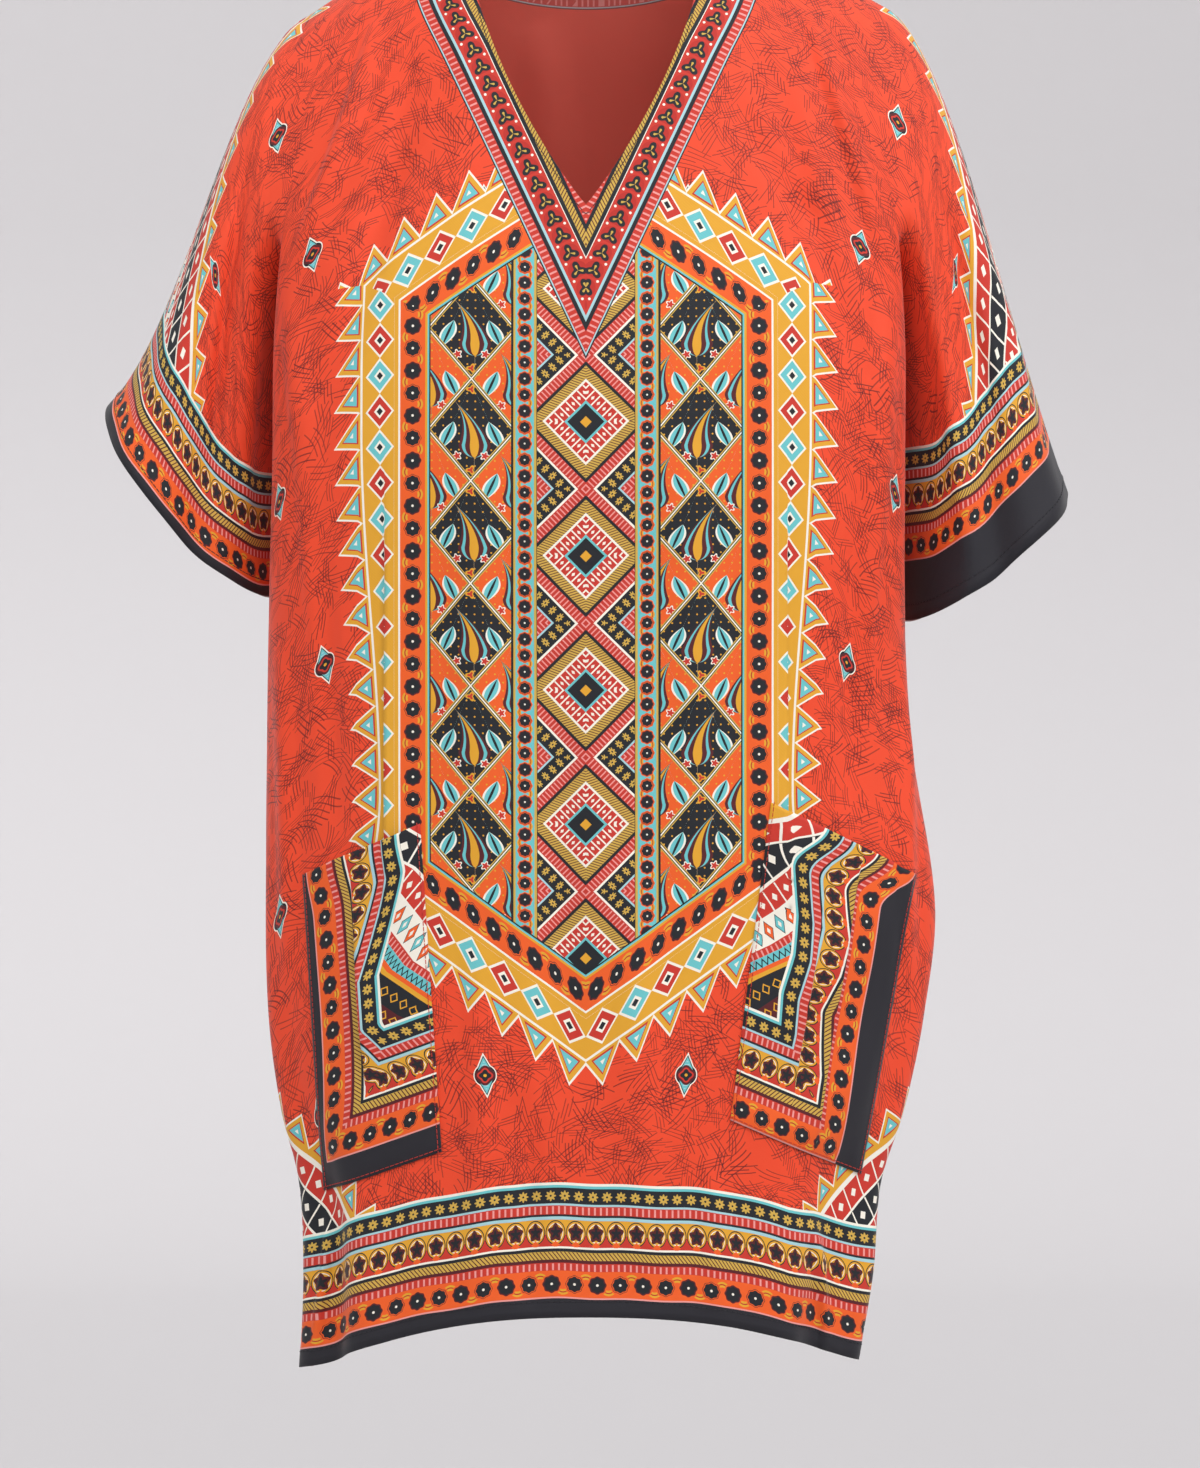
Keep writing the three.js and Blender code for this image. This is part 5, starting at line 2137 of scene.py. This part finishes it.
@dataclass
class Kaftan:
    """The whole garment."""

    panel_cut: tuple[float, float] = (0.9, 0.87)
    panel_area: float = 0.5
    pocket_cuts: dict[str, tuple[float, float]] = field(
        default_factory=lambda: {"pocket_left": (0.085, 0.2), "pocket_right": (0.11, 0.2)}
    )

    def build(self) -> None:
        """Makes and dresses every piece."""
        stitching = Stitching()
        black = Thread("black_thread", Ink.EDGE_BLACK).material()
        red = Thread("red_thread", Ink.BRICK).material()
        shared = [
            PrintedCotton(f"poplin_{zone.name.lower()}{'_reverse' * reverse}", zone, reverse)
            .material()
            for reverse in (False, True)
            for zone in (Zone.OPEN, Zone.HEM, Zone.SLEEVE, Zone.CORNER)
        ]
        front = Panel(FRONT)
        for panel in (front, Panel(BACK)):
            name = panel.face.name
            middle = [
                PrintedCotton(
                    f"poplin_{name}_{zone.name.lower()}{'_reverse' * reverse}", zone, reverse,
                    panel.face is FRONT,
                ).material()
                for reverse in (False, True) for zone in (Zone.CENTRE, Zone.FRAME, Zone.NECK)
            ]
            finishes = [*shared[:4], *middle[:3], *shared[4:], *middle[3:]]
            piece = shell(f"{name}_panel", panel.sheet, finishes, self.zones(panel))
            seams = stitching.sew(f"{name}_stitches", panel.sheet.seams, black)
            self.dress([piece, seams], name)
        for pocket in POCKETS:
            sheet = pocket.sheet(front.sheet)
            cotton = PocketCotton(f"poplin_{pocket.name}").material()
            piece = shell(f"{pocket.name}_patch", sheet, [cotton])
            seams = stitching.sew(f"{pocket.name}_stitches", sheet.seams, red)
            self.dress([piece, seams], pocket.name)

    def zones(self, panel: Panel) -> Array:
        """Number of the finish of each of a panel's faces.

        Args:
            panel: the panel.

        Returns:
            A number of Zone for each face.
        """
        margin = 8.0
        trim = margin + TOOTH_HEIGHT
        places = {
            name: numbers[panel.sheet.quads].mean(1).T
            for name, numbers in panel.sheet.maps.items()
        }
        (u, v), (_, d), (_, e) = places["cut"], places["border"], places["neck"]
        found = np.zeros(len(d), int)
        ways = [
            (d < BAND_DEPTH + margin, Zone.HEM),
            (sleeve_reach(v, d) < SLEEVE_NEST + trim, Zone.SLEEVE),
            (corner_reach(*places["side"]) < CORNER_NEST + trim, Zone.CORNER),
        ]
        if panel.face is FRONT:
            ways.append((panel_reach(u, v) < trim, Zone.FRAME))
            ways.append((panel_reach(u, v) < -margin, Zone.CENTRE))
        for inside, zone in (*ways, (e < NECK_BAND_WIDTH + margin, Zone.NECK)):
            found[inside] = zone.value
        return found

    def dress(self, pieces: list[bpy.types.Object], node: str) -> None:
        """Puts a piece and its stitches in their node's place."""
        for piece in pieces:
            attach(piece, "root")
            log.info("%s: %d faces", piece.name, len(piece.data.polygons))
        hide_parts(node)


# ---- studio --------------------------------------------------------------------------------------


@dataclass
class Studio:
    """Pale seamless floor, soft lights and the camera."""

    floor_z: float = -1.42
    bowl: float = 7.5
    curve: float = 2.0  # radius of the bend from the floor to the wall
    wall: float = 2.7
    turns: int = 72
    surround: float = 0.44
    # Direction of each glow, its power and how narrow it is.
    glows: tuple[tuple[tuple[float, float, float], float, float], ...] = (
        ((-0.14, -0.88, 0.45), 0.95, 1.0),
        ((0.5, -0.55, 0.67), 2.7, 6.0),
        ((0.1, 0.7, 0.7), 0.3, 3.0),
    )
    distance: float = 3.0
    eye: tuple[float, float] = (0.008, -0.4862)
    view_height: float = 0.8661
    sensor: float = 36.0

    def build(self) -> None:
        """Makes the stage."""
        self.floor()
        self.camera()
        self.lights()

    def floor(self) -> None:
        """A round floor that rises smoothly to a low wall all round."""
        flat = self.bowl - self.curve
        profile = [(r, 0.0) for r in np.linspace(0.0, flat, 6)]
        profile += [
            (flat + self.curve * math.sin(t), self.curve - self.curve * math.cos(t))
            for t in np.linspace(0.1, math.pi / 2, 10)
        ]
        profile.append((self.bowl, self.wall))
        made = bmesh.new()
        angles = np.arange(self.turns) * math.tau / self.turns
        rings = [
            [
                made.verts.new((r * math.cos(angle), r * math.sin(angle), self.floor_z + h))
                for angle in angles
            ]
            for r, h in profile[1:]
        ]
        centre = made.verts.new((0, 0, self.floor_z))
        for k in range(self.turns):
            made.faces.new((centre, rings[0][k], rings[0][(k + 1) % self.turns]))
        for low, high in zip(rings, rings[1:]):
            for k in range(self.turns):
                after = (k + 1) % self.turns
                made.faces.new((low[k], high[k], high[after], low[after]))
        mesh = bpy.data.meshes.new("floor")
        made.to_mesh(mesh)
        made.free()
        mesh.polygons.foreach_set("use_smooth", [True] * len(mesh.polygons))
        floor = linked("floor", mesh)
        paper = bpy.data.materials.new("studio_paper")
        paper.use_nodes = True
        surface = paper.node_tree.nodes["Principled BSDF"]
        # Background paper has no gloss, so no bright patch lies behind the garment.
        surface.inputs["Base Color"].default_value = linear("#C6C4C5")
        surface.inputs["Roughness"].default_value = 0.9
        surface.inputs["Specular IOR Level"].default_value = 0.0
        mesh.materials.append(paper)

    def camera(self) -> None:
        """Level camera in front, framing the garment from the shoulders to below the hem."""
        data = bpy.data.cameras.new("camera")
        data.sensor_width = self.sensor
        data.lens = self.sensor * self.distance / self.view_height
        camera = linked("camera", data)
        camera.location = (self.eye[0], -self.distance, self.eye[1])
        camera.rotation_euler = (math.pi / 2, 0, 0)
        bpy.context.scene.camera = camera

    def lights(self) -> None:
        """A pale surround with large soft glows in it, as of softboxes."""
        world = bpy.data.worlds.new("studio")
        world.use_nodes = True
        world.cycles.sampling_method = "NONE"  # it has no small bright places
        tree = world.node_tree
        tree.nodes.clear()
        way = add(tree, "ShaderNodeTexCoord", {}, {}, "Generated")
        strength = self.surround
        for toward, power, narrow in self.glows:
            facing = add(
                tree, "ShaderNodeVectorMath", {"operation": "DOT_PRODUCT"}, {0: way, 1: toward}, 1,
            )
            strength = Signal(facing).most(0.0).apply("POWER", narrow) * power + strength
        sky = add(
            tree, "ShaderNodeBackground", {},
            {"Color": linear("#F2F1F2"), "Strength": strength},
        )
        add(tree, "ShaderNodeOutputWorld", {}, {"Surface": sky})
        scene = bpy.context.scene
        scene.world = world
        scene.view_settings.view_transform = "Standard"


def main() -> None:
    """Builds the stage and the garment."""
    logging.basicConfig(level=logging.INFO, format="%(name)s: %(message)s")
    Studio().build()
    Kaftan().build()


if __name__ == "__main__":
    main()
